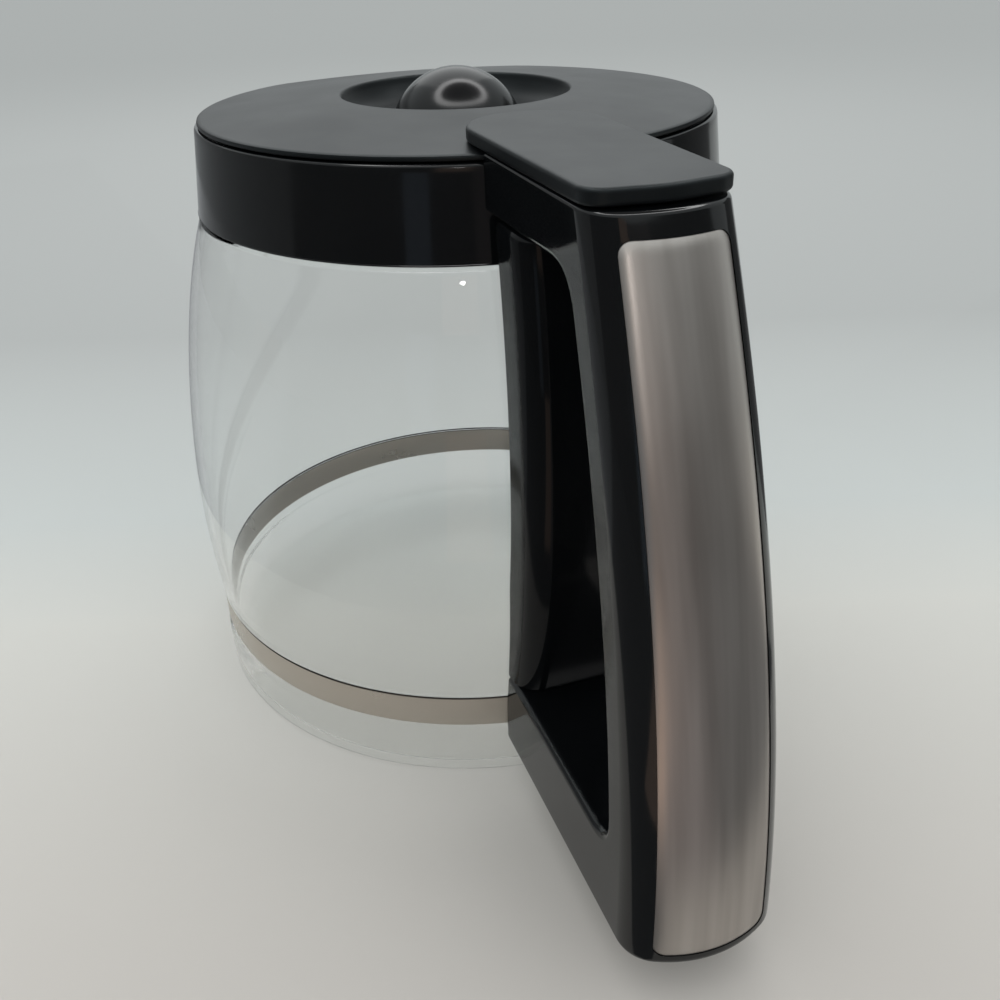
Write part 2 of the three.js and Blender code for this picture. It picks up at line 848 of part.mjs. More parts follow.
// A quarter of the drip recess from its rim down to the drain, shifted down by a sheet thickness.
function recessCurve(rimRadius, drop) {
  const curve = new THREE.QuadraticBezierCurve(
    point(rimRadius, lidTopAt(rimRadius) - drop),
    point(between(rimRadius, drainRadius, recessSteepness), drainHeight - drop),
    point(drainRadius, drainHeight - drop),
  );
  return curve.getPoints(curveSteps);
}

function lidSheetRing() {
  const skirtInner = lidSkirtRadius - lidSkirtWall;
  const skirtBottom = lidLipBottom - lidSkirtDepth;
  return ring([
    point(lidSkirtRadius, lidLipBottom),
    point(lidRadius - lidEdge, lidLipBottom),
    point(lidRadius, lidLipBottom + lidEdge),
    point(lidRadius, lidRimTop - lidEdge),
    point(lidRadius - lidEdge, lidTopAt(lidRadius - lidEdge)),
    ...recessCurve(recessRadius, 0),
    ...recessCurve(recessRadius + lidSheet / 2, lidSheet).reverse(),
    point(skirtInner, lidTopAt(skirtInner) - lidSheet),
    point(skirtInner, skirtBottom),
    point(lidSkirtRadius, skirtBottom),
  ]);
}

const cupScrewAngles = Array.from({ length: cupScrewCount }, (_, i) =>
  Math.PI + (2 * Math.PI * i) / cupScrewCount);

const cupScrewPlaces = cupScrewAngles.map((angle) =>
  point(cupScrewCircle * Math.cos(angle), cupScrewCircle * Math.sin(angle)));

const padBottom = lidTopAt(platePostX) - lidSheet - fitGap;

function lidTop() {
  const bossTop = lidTopAt(cupScrewCircle) - lidSheet / 2;
  const bosses = cupScrewPlaces.map((p) =>
    post(p.x, p.y, cupFlangeTop + fitGap, bossTop, screwBossRadius));
  const pilots = cupScrewPlaces.map((p) =>
    post(p.x, p.y, cupFlangeTop, lidRimTop - lidSheet, pilotRadius));
  const sides = [-1, 1];
  const pads = sides.map((side) =>
    post(platePostX, side * platePostY, padBottom, lidRimTop, platePadRadius));
  const holes = sides.map((side) =>
    post(platePostX, side * platePostY, padBottom - cutPast, lidCrownTop, platePostRadius + fitGap));
  const chord = box(-2 * lidRadius, lidChordX, -lidRadius, lidRadius, 0, 2 * lidCrownTop);
  return cut(join(lidSheetRing(), ...bosses, ...pads), ...pilots, ...holes, chord);
}

function dripCup() {
  const flangeBottom = cupFlangeTop - cupFlange;
  const floorBottom = cupFloorTop - cupWall;
  const shell = revolve([
    point(0, floorBottom),
    point(cupRadius, floorBottom),
    point(cupRadius, flangeBottom),
    point(cupFlangeRadius, flangeBottom),
    point(cupFlangeRadius, cupFlangeTop),
    point(cupRadius - cupWall, cupFlangeTop),
    point(cupRadius - cupWall, cupFloorTop),
    point(cupBossRadius, cupFloorTop),
    point(cupBossRadius, domeBase - fitGap),
    point(0, domeBase - fitGap),
  ]);
  const slotLength = cupRadius - cupWall - cupBossRadius - 2 * drainSlotInset;
  const slots = Array.from({ length: drainSlotCount }, (_, i) => {
    const slot = new THREE.BoxGeometry(slotLength, drainSlotWidth, cupWall + 2 * cutPast);
    slot.translate((cupRadius - cupWall + cupBossRadius) / 2, 0, cupFloorTop - cupWall / 2);
    slot.rotateZ((2 * Math.PI * i) / drainSlotCount);
    return solid(slot);
  });
  const holes = cupScrewPlaces.map((p) =>
    post(p.x, p.y, flangeBottom - cutPast, cupFlangeTop + cutPast, pilotRadius));
  const stemHole = post(0, 0, floorBottom - cutPast, domeBase, pilotRadius);
  return cut(shell, ...slots, ...holes, stemHole);
}

function dripDome() {
  const arc = (radius) => {
    const low = Math.asin((domeBase - domeCentre) / radius);
    return levels(low, quarterTurn, curveSteps + 2).map((angle) =>
      point(radius * Math.cos(angle), domeCentre + radius * Math.sin(angle)));
  };
  const outer = arc(domeRadius);
  outer[outer.length - 1].x = 0;
  const inner = arc(domeRadius - domeWall).reverse().slice(1);
  const crown = point(0, domeCentre + domeRadius - domeWall);
  const shell = revolve([...outer, crown, ...inner, outer[0]], domeSteps);
  const stem = post(0, 0, domeBase, domeCentre + domeRadius - domeWall / 2, stemRadius);
  const pilot = post(0, 0, domeBase - cutPast, domeBase + screwBite + slideGap, pilotRadius);
  return cut(join(shell, stem), pilot);
}

// Thumb plate

function plateOutline() {
  const inner = plateInnerHalfWidth;
  const middle = plateInnerX + inner;
  const cornerX = plateOuterX - plateEndBow;
  const half = plateHalfWidth;
  const shape = new THREE.Shape();
  shape.moveTo(middle, -inner);
  shape.lineTo(cornerX - plateCorner, -half);
  shape.quadraticCurveTo(cornerX, -half, cornerX, -half + plateCorner);
  shape.quadraticCurveTo(plateOuterX + plateEndBow, 0, cornerX, half - plateCorner);
  shape.quadraticCurveTo(cornerX, half, cornerX - plateCorner, half);
  shape.lineTo(middle, inner);
  shape.absarc(middle, 0, inner, quarterTurn, 3 * quarterTurn, false);
  return shape;
}

function plateSlab() {
  const slab = new THREE.ExtrudeGeometry(plateOutline(), {
    depth: plateThickness - 2 * plateBevel,
    bevelThickness: plateBevel,
    bevelSize: plateBevel,
    bevelOffset: -plateBevel,
    bevelSegments: 1,
    curveSegments: 2 * curveSteps,
  });
  slab.translate(0, 0, plateBottom + plateBevel);
  return solid(slab);
}

// The lid's coned top grown by the fit, which the plate's inner end is relieved to.
function lidCone() {
  const rim = lidRadius + slideGap;
  return revolve([
    point(0, lidRimTop - lidLip),
    point(rim, lidRimTop - lidLip),
    point(rim, lidTopAt(rim) + fitGap),
    point(recessRadius, lidCrownTop + fitGap),
    point(0, lidCrownTop + fitGap),
  ]);
}

function thumbPlate() {
  const tongue = cut(
    box(tongueStart, tongueEnd, -tongueHalfWidth, tongueHalfWidth, armTop - tongueDepth, plateRoot),
    box(tongueStart + tongueWall, tongueEnd - tongueWall, -tongueHalfWidth + tongueWall,
      tongueHalfWidth - tongueWall, armTop - tongueDepth - cutPast, plateBottom),
  );
  const posts = [-1, 1].map((side) =>
    post(platePostX, side * platePostY, padBottom + fitGap, plateRoot, platePostRadius));
  const pilots = [-1, 1].map((side) =>
    post(platePostX, side * platePostY, padBottom - cutPast, plateRoot, pilotRadius));
  const relieved = cut(plateSlab(), lidCone());
  return cut(join(relieved, tongue, ...posts), ...pilots);
}

// Fasteners

// A screw with its head on +Z and the underside of the head at the origin.
function screw(length, height) {
  const body = revolve([
    point(0, -length),
    point(tipRadius, -length),
    point(shankRadius, -length + shankRadius),
    point(shankRadius, 0),
    point(headRadius, 0),
    point(headRadius, height - headEdge),
    point(headRadius - headEdge, height),
    point(0, height),
  ], screwSteps);
  const low = height - crossDepth;
  const high = height + cutPast;
  const cross = join(
    box(-crossReach, crossReach, -crossHalfWidth, crossHalfWidth, low, high),
    box(-crossHalfWidth, crossHalfWidth, -crossReach, crossReach, low, high),
  );
  return cut(body, cross);
}

function hexNut() {
  const body = post(0, 0, 0, nutThickness, nutRadius, nutSides);
  return cut(body, post(0, 0, -cutPast, nutThickness + cutPast, pilotRadius));
}

// Assembly

const carafe = new THREE.Group();

function place(parent, name, body, material) {
  const mesh = new THREE.Mesh(geometryOf(body), material);
  mesh.name = name;
  parent.add(mesh);
  return mesh;
}

function placeScrew(parent, name, length, at, turn, height = headHeight) {
  const mesh = place(parent, name, screw(length, height), screwSteel);
  mesh.position.set(...at);
  mesh.rotation.set(...turn);
}

const headUp = [0, 0, 0];
const headDown = [Math.PI, 0, 0];
const headOut = [0, Math.PI / 2, 0];
const headRight = [Math.PI / 2, 0, 0];

function addVessel() {
  place(carafe, 'glass_vessel', glassVessel(), clearGlass);
  place(carafe, 'rim_gasket', rimGasket(), silicone);
  place(carafe, 'collar', collar(), glossBlack);
  place(carafe, 'band', band(), brightSteel);
}

function addHandle() {
  place(carafe, 'handle_frame', handleFrame(), glossBlack);
  place(carafe, 'grip_liner', gripLiner(), glossBlack);
  place(carafe, 'grip_inlay', gripInlay(), brushedSteel);
  place(carafe, 'knuckle_guard', knuckleGuard(), glossBlack);
  place(carafe, 'lower_cover', lowerCover(), satinBlack);
}

function addHandleFasteners() {
  const armHead = armChannelStart + fitGap;
  const armLength = armHead - (collarTopRadius - collarWall / 2 - bossDepth);
  placeScrew(carafe, 'arm_screw_left', armLength, [armHead, -armScrewY, armScrewZ], headOut);
  placeScrew(carafe, 'arm_screw_right', armLength, [armHead, armScrewY, armScrewZ], headOut);
  const guardHead = channelFloor + fitGap;
  const guardLength = guardHead - armBottom + screwBite;
  placeScrew(carafe, 'guard_screw', guardLength, [guardScrewX, 0, guardHead], headUp);
  const coverSeat = lowerArmBottom + coverInset + flatHeadHeight;
  const coverLength = coverThickness + screwBite;
  const coverPlace = [coverScrewX, 0, coverSeat];
  placeScrew(carafe, 'cover_screw', coverLength, coverPlace, headDown, flatHeadHeight);
  const earFace = earY + bandThickness + fitGap;
  const clampLength = 2 * earFace + nutThickness + fitGap;
  placeScrew(carafe, 'band_screw', clampLength, [earScrewX, -earFace, bandMiddle], headRight);
  const nut = place(carafe, 'band_nut', hexNut(), screwSteel);
  nut.position.set(earScrewX, earFace + nutThickness, bandMiddle);
  nut.rotation.set(...headRight);
}

function addLid() {
  place(carafe, 'lid_top', lidTop(), satinBlack);
  place(carafe, 'drip_cup', dripCup(), satinBlack);
  place(carafe, 'drip_dome', dripDome(), glossBlack);
  place(carafe, 'thumb_plate', thumbPlate(), satinBlack);
  const cupHead = cupFlangeTop - cupFlange - fitGap;
  const cupLength = lidRimTop - lidSheet - fitGap - cupHead;
  cupScrewPlaces.forEach((p, i) =>
    placeScrew(carafe, `cup_screw_${i + 1}`, cupLength, [p.x, p.y, cupHead], headDown));
  const domeHead = cupFloorTop - cupWall - fitGap;
  const domeLength = domeBase - domeHead + screwBite;
  placeScrew(carafe, 'dome_screw', domeLength, [0, 0, domeHead], headDown);
  const plateHead = padBottom - fitGap;
  const plateLength = plateRoot - padBottom;
  placeScrew(carafe, 'plate_screw_left', plateLength, [platePostX, -platePostY, plateHead], headDown);
  placeScrew(carafe, 'plate_screw_right', plateLength, [platePostX, platePostY, plateHead], headDown);
}

addVessel();
addHandle();
addHandleFasteners();
addLid();

export default carafe;
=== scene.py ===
# Looks of the glass coffee carafe: finer skins for the solids that show, and a finish for every piece.
from math import acos, asin, atan2, cos, hypot, pi, radians, sin, sqrt, tan

import bmesh
import bpy
from mathutils import Matrix, Vector
from mathutils.geometry import tessellate_polygon


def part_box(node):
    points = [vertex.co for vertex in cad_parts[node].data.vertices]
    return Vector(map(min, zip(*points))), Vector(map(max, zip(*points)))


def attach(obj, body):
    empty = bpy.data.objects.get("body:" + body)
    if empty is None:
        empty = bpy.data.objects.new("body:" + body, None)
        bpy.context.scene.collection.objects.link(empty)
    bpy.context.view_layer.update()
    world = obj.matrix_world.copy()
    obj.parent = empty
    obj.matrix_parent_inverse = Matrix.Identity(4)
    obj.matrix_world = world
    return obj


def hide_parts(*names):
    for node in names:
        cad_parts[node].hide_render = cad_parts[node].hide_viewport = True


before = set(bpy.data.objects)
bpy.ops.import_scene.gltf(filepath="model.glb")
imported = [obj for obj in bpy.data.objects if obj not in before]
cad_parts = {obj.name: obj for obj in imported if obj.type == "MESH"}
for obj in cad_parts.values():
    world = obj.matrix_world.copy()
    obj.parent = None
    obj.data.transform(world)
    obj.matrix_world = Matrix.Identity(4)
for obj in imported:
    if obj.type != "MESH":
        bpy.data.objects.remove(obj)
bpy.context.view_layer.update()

MM = 0.001

# Fineness of the skins
TURN_STEPS = 160
CURVE_STEPS = 18
ROUND_STEPS = 5
FINE_STEPS = 6
BEND_STEPS = 8
SMOOTH_ANGLE = 32

# Fits and fine edges, in millimetres like every size below
FIT_GAP = 0.3
HANDLE_GAP = 0.4
SLIDE_GAP = 0.5
FINE_EDGE = 0.3
ROOM_EDGE = 0.8
OVERCUT = 5


def box_mm(node):
    low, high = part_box(node)
    return low / MM, high / MM


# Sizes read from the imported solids
GLASS_HIGH = box_mm("glass_vessel")[1]
COLLAR_LOW, COLLAR_HIGH = box_mm("collar")
BAND_LOW, BAND_HIGH = box_mm("band")
LID_LOW, LID_HIGH = box_mm("lid_top")
DOME_LOW, DOME_HIGH = box_mm("drip_dome")
PLATE_HIGH = box_mm("thumb_plate")[1]
HANDLE_LOW, HANDLE_HIGH = box_mm("handle_frame")
INLAY_LOW, INLAY_HIGH = box_mm("grip_inlay")
LINER_LOW, LINER_HIGH = box_mm("grip_liner")
COVER_LOW, COVER_HIGH = box_mm("lower_cover")

# Glass vessel
GLASS_WALL = 2
GLASS_FLOOR = 2
HEEL_RADIUS = 2.2
INNER_HEEL_RADIUS = 1.2
GROOVE_DEPTH = 1.1
GROOVE_TOP_RISE = 0.45
GROOVE_FOOT_RISE = 5.5
BELLY_RADIUS = GLASS_HIGH.y
FOOT_RADIUS = BELLY_RADIUS - 1.5
BELLY_HEIGHT = 50
SHOULDER_RADIUS = 66.6
SHOULDER_HEIGHT = 128.9
NECK_RADIUS = 62.2
NECK_RISE = 3.6
RIM_HEIGHT = GLASS_HIGH.z
RIM_ROUND = 1.1
PUNT_RADIUS = 54
PUNT_RISE = 0.15
PUNT_SLOPE = 4
FLOOR_RINGS = (11, 40, 54)
FLOOR_RING_STEP = 0.2
FLOOR_RING_SLOPE = 1.5
WALL_IOR = 1.4
FOOT_IOR = 1.08

# Pour collar
COLLAR_BOTTOM = COLLAR_LOW.z
COLLAR_TOP = COLLAR_HIGH.z
COLLAR_BOTTOM_RADIUS = 66.7
COLLAR_TOP_RADIUS = 64.5
COLLAR_WALL = 2
COLLAR_EDGE = 0.5
COLLAR_TOP_EDGE = 0.75
COLLAR_LEVELS = 14
LEDGE_BOTTOM = 143.5
LEDGE_TOP = 145.5
LEDGE_INNER = 57.6
BOSS_HALF_WIDTH = 11
BOSS_HEIGHT = 4.2
BOSS_DEPTH = 5
SPOUT_TIP = -COLLAR_LOW.x
SPOUT_HALF_WIDTH = 21
SPOUT_HALF_ANGLE = 21
SPOUT_SOFT_ANGLE = 5
SPOUT_DROP = 1.4
SPOUT_DEPTH = 13.2
SPOUT_WALL = 1.8
SPOUT_SHARPNESS = 0.35
SPOUT_BLEND = 1.2
SPOUT_TRIM = 0.03
TROUGH_BLEND = 0.6
TROUGH_RISE = 0.6

# Clamp band
BAND_BOTTOM = BAND_LOW.z
BAND_TOP = BAND_HIGH.z
BAND_OUTER = BAND_HIGH.y
BAND_THICKNESS = 0.5
BAND_EDGE = 0.18
BAND_BEND = 2
BAND_EAR_END = BAND_HIGH.x
BAND_EAR_Y = 4.8
BAND_EAR_LEAD = 6
BAND_STEPS = 200

# Handle
ARM_TOP = HANDLE_HIGH.z
ARM_CROWN = 0.55
ARM_BOTTOM = ARM_TOP - 11.1
FOOT = HANDLE_LOW.z
LOWER_ARM_TOP = 31.4
TOP_HALF_WIDTH = 14.1
FOOT_HALF_WIDTH = HANDLE_HIGH.y
FRONT_FOOT_X = HANDLE_HIGH.x
FRONT_LINE = ((FRONT_FOOT_X, FOOT), (150, 60), (137.5, 105), (117.5, ARM_TOP + ARM_CROWN))
CROWN_RADIUS = 27
CORNER_RADIUS = 8.5
CORNER_STEPS = 10
CROWN_STEPS = 14
HANDLE_LEVELS = 56
GRIP_DEPTH = 16.4
OPENING_ROUND = 7
OPENING_EDGE = 1.8
OPENING_EDGE_END = 10
OPENING_LEVELS = 40
HANDLE_BACK = 57.6
TOP_ROUND = 0.8
FOOT_ROUND = 2.2
CHANNEL_START = 74
CHANNEL_END = 105
CHANNEL_HALF_WIDTH = 10
CHANNEL_FLOOR = 144
HOLLOW_TOP = LOWER_ARM_TOP - 3.5
LINER_POCKET = 6
LINER_HALF_WIDTH = 10
LINER_THICKNESS = 2.6
LINER_EDGE = 0.4
LINER_LEVELS = 24
POCKET_PROUD = 1.5

# Grip inlay
INLAY_THICKNESS = 0.85
INLAY_POCKET = 0.9
INLAY_ROLL_WIDTH = 1.7
INLAY_ROLL_DROP = 0.2
INLAY_RISE = 0.9
INLAY_SEAM = 0.12
INLAY_TOP_HALF_WIDTH = 10.15
INLAY_BOTTOM_HALF_WIDTH = 12.4
INLAY_CORNER = 2.4
INLAY_ROWS = 72
INLAY_COLUMNS = 28

# Knuckle guard
GUARD_BOTTOM = LOWER_ARM_TOP + FIT_GAP
GUARD_TOP = ARM_BOTTOM - FIT_GAP
GUARD_FOOT_X = 84.5
GUARD_TOP_X = 82.5
GUARD_LINE = ((GUARD_FOOT_X, GUARD_BOTTOM), (94, 58), (93, 100), (GUARD_TOP_X, GUARD_TOP))
GUARD_DEPTH = 14
GUARD_WALL = 2.6
GUARD_ROUND = 6.5
GUARD_BACK_ROUND = 1.2
GUARD_END_ROUND = 2
GUARD_LEVELS = 24
GUARD_ROOM_PAST = 4
GUARD_ROOM_BACK_ROUND = 1
GUARD_SCREW_X = GUARD_TOP_X - 4.5
GUARD_BOSS_RADIUS = 3.6
GUARD_BOSS_HEIGHT = 13
TENON_LENGTH = 4
TENON_HALF_WIDTH = 8
TENON_DEPTH = 2.5
TENON_RISE = 2

# Lid
LID_RADIUS = LID_HIGH.y
LID_LIP_BOTTOM = COLLAR_TOP + FIT_GAP
LID_RIM_TOP = LID_LIP_BOTTOM + 1.2
LID_CROWN = 3.1
LID_SHEET = 2
LID_EDGE = 0.45
LID_CHORD = -LID_LOW.x
LID_CHORD_BLEND = 1.6
LID_CHORD_TRIM = 0.15
LID_GLOSS = 0.245
SKIRT_RADIUS = 57.1
SKIRT_WALL = 2
SKIRT_EDGE = 0.6
SKIRT_ROOT = 0.4
SKIRT_STEPS = 140
SKIRT_MOUTH_HALF_WIDTH = 21.2
RECESS_RADIUS = 28.7
RECESS_DEPTH = 6.2
RECESS_LIP = 0.7
RECESS_GLOSS = 0.12
DRAIN_RADIUS = 17.4
DRAIN_EDGE = 0.5
CUP_SCREW_CIRCLE = 34
CUP_FLANGE_TOP = 144.1
LID_BOSS_RADIUS = 3.6

# Drip dome
DOME_RADIUS = DOME_HIGH.y
DOME_WALL = 2
DOME_CENTRE = DOME_HIGH.z - DOME_RADIUS
DOME_STEM = 4

# Thumb plate
PLATE_BOTTOM = ARM_TOP + 0.9
PLATE_TOP = PLATE_HIGH.z
PLATE_INNER_X = 42
PLATE_OUTER_X = PLATE_HIGH.x
PLATE_HALF_WIDTH = 14.2
PLATE_INNER_HALF_WIDTH = PLATE_HIGH.y
PLATE_CORNER = 5
PLATE_END_BOW = 1.6
PLATE_ROUND = 0.9
TONGUE_START = 86.5
TONGUE_END = 104.5
TONGUE_HALF_WIDTH = 9.5
TONGUE_DEPTH = 5
TONGUE_ROOM_DEPTH = 9
TONGUE_WALL = 2

# Camera, lamps and floor
CAMERA_PLACE = (270.2, -82.6, 197.2)
CAMERA_RIGHT = (0.3334, 0.9424, -0.0277)
CAMERA_UP = (-0.4576, 0.1874, 0.8692)
CAMERA_BACK = (0.8243, -0.277, 0.4937)
CAMERA_LENS = 38.44
FLOOR_HALF = 6000
FLOOR_SINK = 0.2
FLOOR_TURN = 0.324
# Floor colours hold painted light: the lightest is a painted pool of light by the object, the back and far
# ones painted shade further back.
FLOOR_NEAR = (0.61, 0.58, 0.545)
FLOOR_LIGHT_POOL = (0.665, 0.665, 0.63)
FLOOR_BACK = (0.575, 0.605, 0.595)
FLOOR_FAR_SHADE = (0.435, 0.45, 0.445)
RING_LAMP_PLACE = (50, 60, 640)
RING_LAMP_RADII = (215, 300)
RING_LAMP_STRETCH = (0.85, 1.2)
GLINT_LAMP_PLACE = (689, -218, 374)
GLINT_LAMP_RADIUS = 16
LAMP_PINHOLE = 0.1
BACK_BOX_PLACE = (-650, 150, 800)
BACK_BOX_TARGET = (0, 0, 140)
BACK_BOX_SIZE = 900
CARD_DIM = (0.15, 0.15, 0.152)
CARD_STEPS = 20
LEFT_TABLE_EDGE = 148
RIGHT_TABLE_EDGE = 184
WARM_TABLE_EDGE = 205
CARD_FAR = 800
CARD_HEIGHT = 520
LOW_CARD_EDGE = 780
LOW_CARD_FAR = 785
LOW_CARD_HEIGHT = 230
TABLE_HEIGHT = 1


# Shared helpers


def between(start, end, share):
    return start + (end - start) * share


def curve_spot(points, t):
    """A spot on the cubic curve of four points."""
    u = 1 - t
    weights = (u * u * u, 3 * u * u * t, 3 * u * t * t, t * t * t)
    return tuple(sum(w * p[k] for w, p in zip(weights, points)) for k in (0, 1))


def bezier(p0, p1, p2, p3, steps):
    """Points on a cubic curve, both ends included."""
    return [curve_spot((p0, p1, p2, p3), i / steps) for i in range(steps + 1)]


def bend(start, corner, end):
    """A curve from one line to the next, round the corner where they meet."""
    near = [between(s, c, 2 / 3) for s, c in zip(start, corner)]
    far = [between(e, c, 2 / 3) for e, c in zip(end, corner)]
    return bezier(start, near, far, end, BEND_STEPS)


def last_share(holds, high):
    """The largest share, below a limit, up to which a test holds."""
    low = 0.0
    for _ in range(40):
        middle = (low + high) / 2
        if holds(middle):
            low = middle
        else:
            high = middle
    return low


def reach_at(line, z):
    """How far out a rising curve is at a height."""
    share = last_share(lambda t: curve_spot(line, t)[1] < z, 1.0)
    return curve_spot(line, share)[0]


def arc(x, y, radius, start, end, steps):
    """Points round a centre between two angles, both ends included."""
    angles = [between(start, end, k / steps) for k in range(steps + 1)]
    return [(x + radius * cos(a), y + radius * sin(a)) for a in angles]


def quarter(x, y, radius, start, end, steps=BEND_STEPS):
    """An arc between two angles in quarter turns."""
    return arc(x, y, radius, pi / 2 * start, pi / 2 * end, steps)


def rounded(corners, steps=ROUND_STEPS):
    """A closed outline of (x, y, radius) corners, with an arc at each corner that has a radius."""
    outline = []
    for i, (x, y, radius) in enumerate(corners):
        here = Vector((x, y))
        if radius == 0:
            outline.append((x, y))
            continue
        back = (Vector(corners[i - 1][:2]) - here).normalized()
        on = (Vector(corners[(i + 1) % len(corners)][:2]) - here).normalized()
        half = acos(max(-1, min(1, back.dot(on)))) / 2
        centre = here + (back + on).normalized() * radius / sin(half)
        first = here + back * radius * cos(half) / sin(half) - centre
        last = here + on * radius * cos(half) / sin(half) - centre
        start = atan2(first.y, first.x)
        sweep = (atan2(last.y, last.x) - start + pi) % (2 * pi) - pi
        outline += arc(centre.x, centre.y, radius, start, start + sweep, steps)
    return outline


def rounded_box(low, high, edge, steps=ROUND_STEPS, back_edge=None):
    """A rounded rectangle between two corners. Its back, at the low x, may have rounds of its own."""
    rear = edge if back_edge is None else back_edge
    back, front = low[0], high[0]
    corners = [(back, low[1], rear), (front, low[1], edge), (front, high[1], edge), (back, high[1], rear)]
    return rounded(corners, steps)


def drawn_in(outline, inset):
    """A closed outline drawn in by an inset, or out by a negative one."""
    spots = []
    for i, here in enumerate(outline):
        before = Vector(outline[i - 1])
        after = Vector(outline[(i + 1) % len(outline)])
        along = (after - before).normalized()
        spots.append(Vector(here) + Vector((-along.y, along.x)) * inset)
    return [(s.x, s.y) for s in spots]


def smooth_most(a, b, blend):
    return (a + b + sqrt((a - b) ** 2 + blend ** 2)) / 2


def smooth_least(a, b, blend):
    return (a + b - sqrt((a - b) ** 2 + blend ** 2)) / 2


def add_object(name, data):
    obj = bpy.data.objects.new(name, data)
    bpy.context.scene.collection.objects.link(obj)
    return obj


def mesh_object(name, points, faces):
    """A mesh object from points in millimetres, welded, with its faces pointing out."""
    mesh = bpy.data.meshes.new(name)
    mesh.from_pydata([(x * MM, y * MM, z * MM) for x, y, z in points], [], faces)
    work = bmesh.new()
    work.from_mesh(mesh)
    bmesh.ops.remove_doubles(work, verts=work.verts, dist=1e-7)
    bmesh.ops.dissolve_degenerate(work, edges=work.edges, dist=1e-7)
    bmesh.ops.recalc_face_normals(work, faces=work.faces)
    work.to_mesh(mesh)
    work.free()
    return add_object(name, mesh)


def woven(name, rows, close_rows, close_columns, caps=False):
    """Skins a grid of points, row by row, and closes it round where asked."""
    height = len(rows)
    width = len(rows[0])
    points = [p for row in rows for p in row]
    faces = []
    for i in range(height if close_rows else height - 1):
        for j in range(width if close_columns else width - 1):
            k = (i + 1) % height
            m = (j + 1) % width
            faces.append((i * width + j, i * width + m, k * width + m, k * width + j))
    if caps:
        for row in (0, height - 1):
            ring = [Vector(p) for p in rows[row]]
            for triangle in tessellate_polygon([ring]):
                faces.append(tuple(row * width + corner for corner in triangle))
    return mesh_object(name, points, faces)


def stacked(name, rounds):
    """Skins a stack of closed outlines, with a cap at both ends."""
    return woven(name, rounds, False, True, caps=True)


def even_angles(steps=TURN_STEPS):
    return [2 * pi * i / steps for i in range(steps)]


def spout_angles(start, fine):
    """Angles round the axis, 2 degrees apart and finer across the spout from a direction on."""
    coarse = [radians(d) for d in range(-start, start + 1, 2)]
    count = round(2 * (180 - start) / fine)
    return coarse + [radians(start + fine * k) for k in range(1, count)]


def turned(name, profile, angles=None):
    """A solid turned round Z. A profile spot is (radius, height), or a function of the angle."""
    rows = []
    for spot in profile:
        row = []
        for angle in angles or even_angles():
            radius, z = spot(angle) if callable(spot) else spot
            row.append((radius * cos(angle), radius * sin(angle), z))
        rows.append(row)
    return woven(name, rows, True, True)


def slab(name, outline, profile):
    """An upright plate: a plan outline, drawn in by each inset of the profile at that height."""
    return stacked(name, [[(x, y, z) for x, y in drawn_in(outline, inset)] for inset, z in profile])


def edge_profile(low, high, low_round, high_round, steps=ROUND_STEPS):
    """Insets and heights of a plate's edge with a round at the bottom and at the top."""
    turns = [pi / 2 * k / steps for k in range(steps + 1)]
    bottom = [(low_round * (1 - sin(t)), low + low_round * (1 - cos(t))) for t in turns]
    top = [(high_round * (1 - cos(t)), high - high_round * (1 - sin(t))) for t in turns]
    return bottom + top


def rounded_levels(low, high, low_round, high_round, count):
    """Insets and heights up a piece that is rounded at its foot and its top, with plain levels between."""
    edges = edge_profile(low, high, low_round, high_round, FINE_STEPS)
    plain = [(0, between(low + low_round, high - high_round, k / count)) for k in range(1, count)]
    return edges[:FINE_STEPS + 1] + plain + edges[FINE_STEPS + 1:]


def block(name, low, high, edge):
    """A box with rounded edges."""
    return slab(name, rounded_box(low, high, edge), edge_profile(low[2], high[2], edge, edge))


def post(name, x, y, low, high, radius):
    outline = [(x + radius * cos(a), y + radius * sin(a)) for a in even_angles(32)]
    return slab(name, outline, edge_profile(low, high, FINE_EDGE, FINE_EDGE, 2))


def combine(obj, others, operation):
    """Joins other solids to an object, or cuts them from it, and uses them up."""
    for other in others:
        step = obj.modifiers.new(operation, "BOOLEAN")
        step.operation = operation
        step.solver = "EXACT"
        step.object = other
        graph = bpy.context.evaluated_depsgraph_get()
        made = bpy.data.meshes.new_from_object(obj.evaluated_get(graph))
        obj.modifiers.clear()
        obj.data = made
        bpy.data.objects.remove(other)
    return obj


def dress(obj, node, body, finish, flat_first=False):
    """Shades a finished skin, gives it its finish and lets it stand for its solid."""
    obj.data.shade_smooth()
    obj.data.set_sharp_from_angle(angle=radians(SMOOTH_ANGLE))
    if flat_first:
        level = obj.modifiers.new("level_normals", "WEIGHTED_NORMAL")
        level.keep_sharp = True
        level.weight = 100
    obj.data.materials.clear()
    obj.data.materials.append(finish)
    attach(obj, body)
    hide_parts(node)
    return obj


# Node helpers for the finishes


def principled(name, colour, roughness, metallic=0.0):
    made = bpy.data.materials.new(name)
    made.use_nodes = True
    shader = made.node_tree.nodes["Principled BSDF"]
    shader.inputs["Base Color"].default_value = (*colour, 1)
    shader.inputs["Roughness"].default_value = roughness
    shader.inputs["Metallic"].default_value = metallic
    return made, made.node_tree, shader


def feed(shader, name, socket):
    shader.id_data.links.new(socket, shader.inputs[name])


def new_node(tree, kind, values):
    """A node with plain values, or the outputs of other nodes, on its inputs."""
    made = tree.nodes.new("ShaderNode" + kind)
    for name, value in values.items():
        if isinstance(value, bpy.types.NodeSocket):
            feed(made, name, value)
        else:
            made.inputs[name].default_value = value
    return made


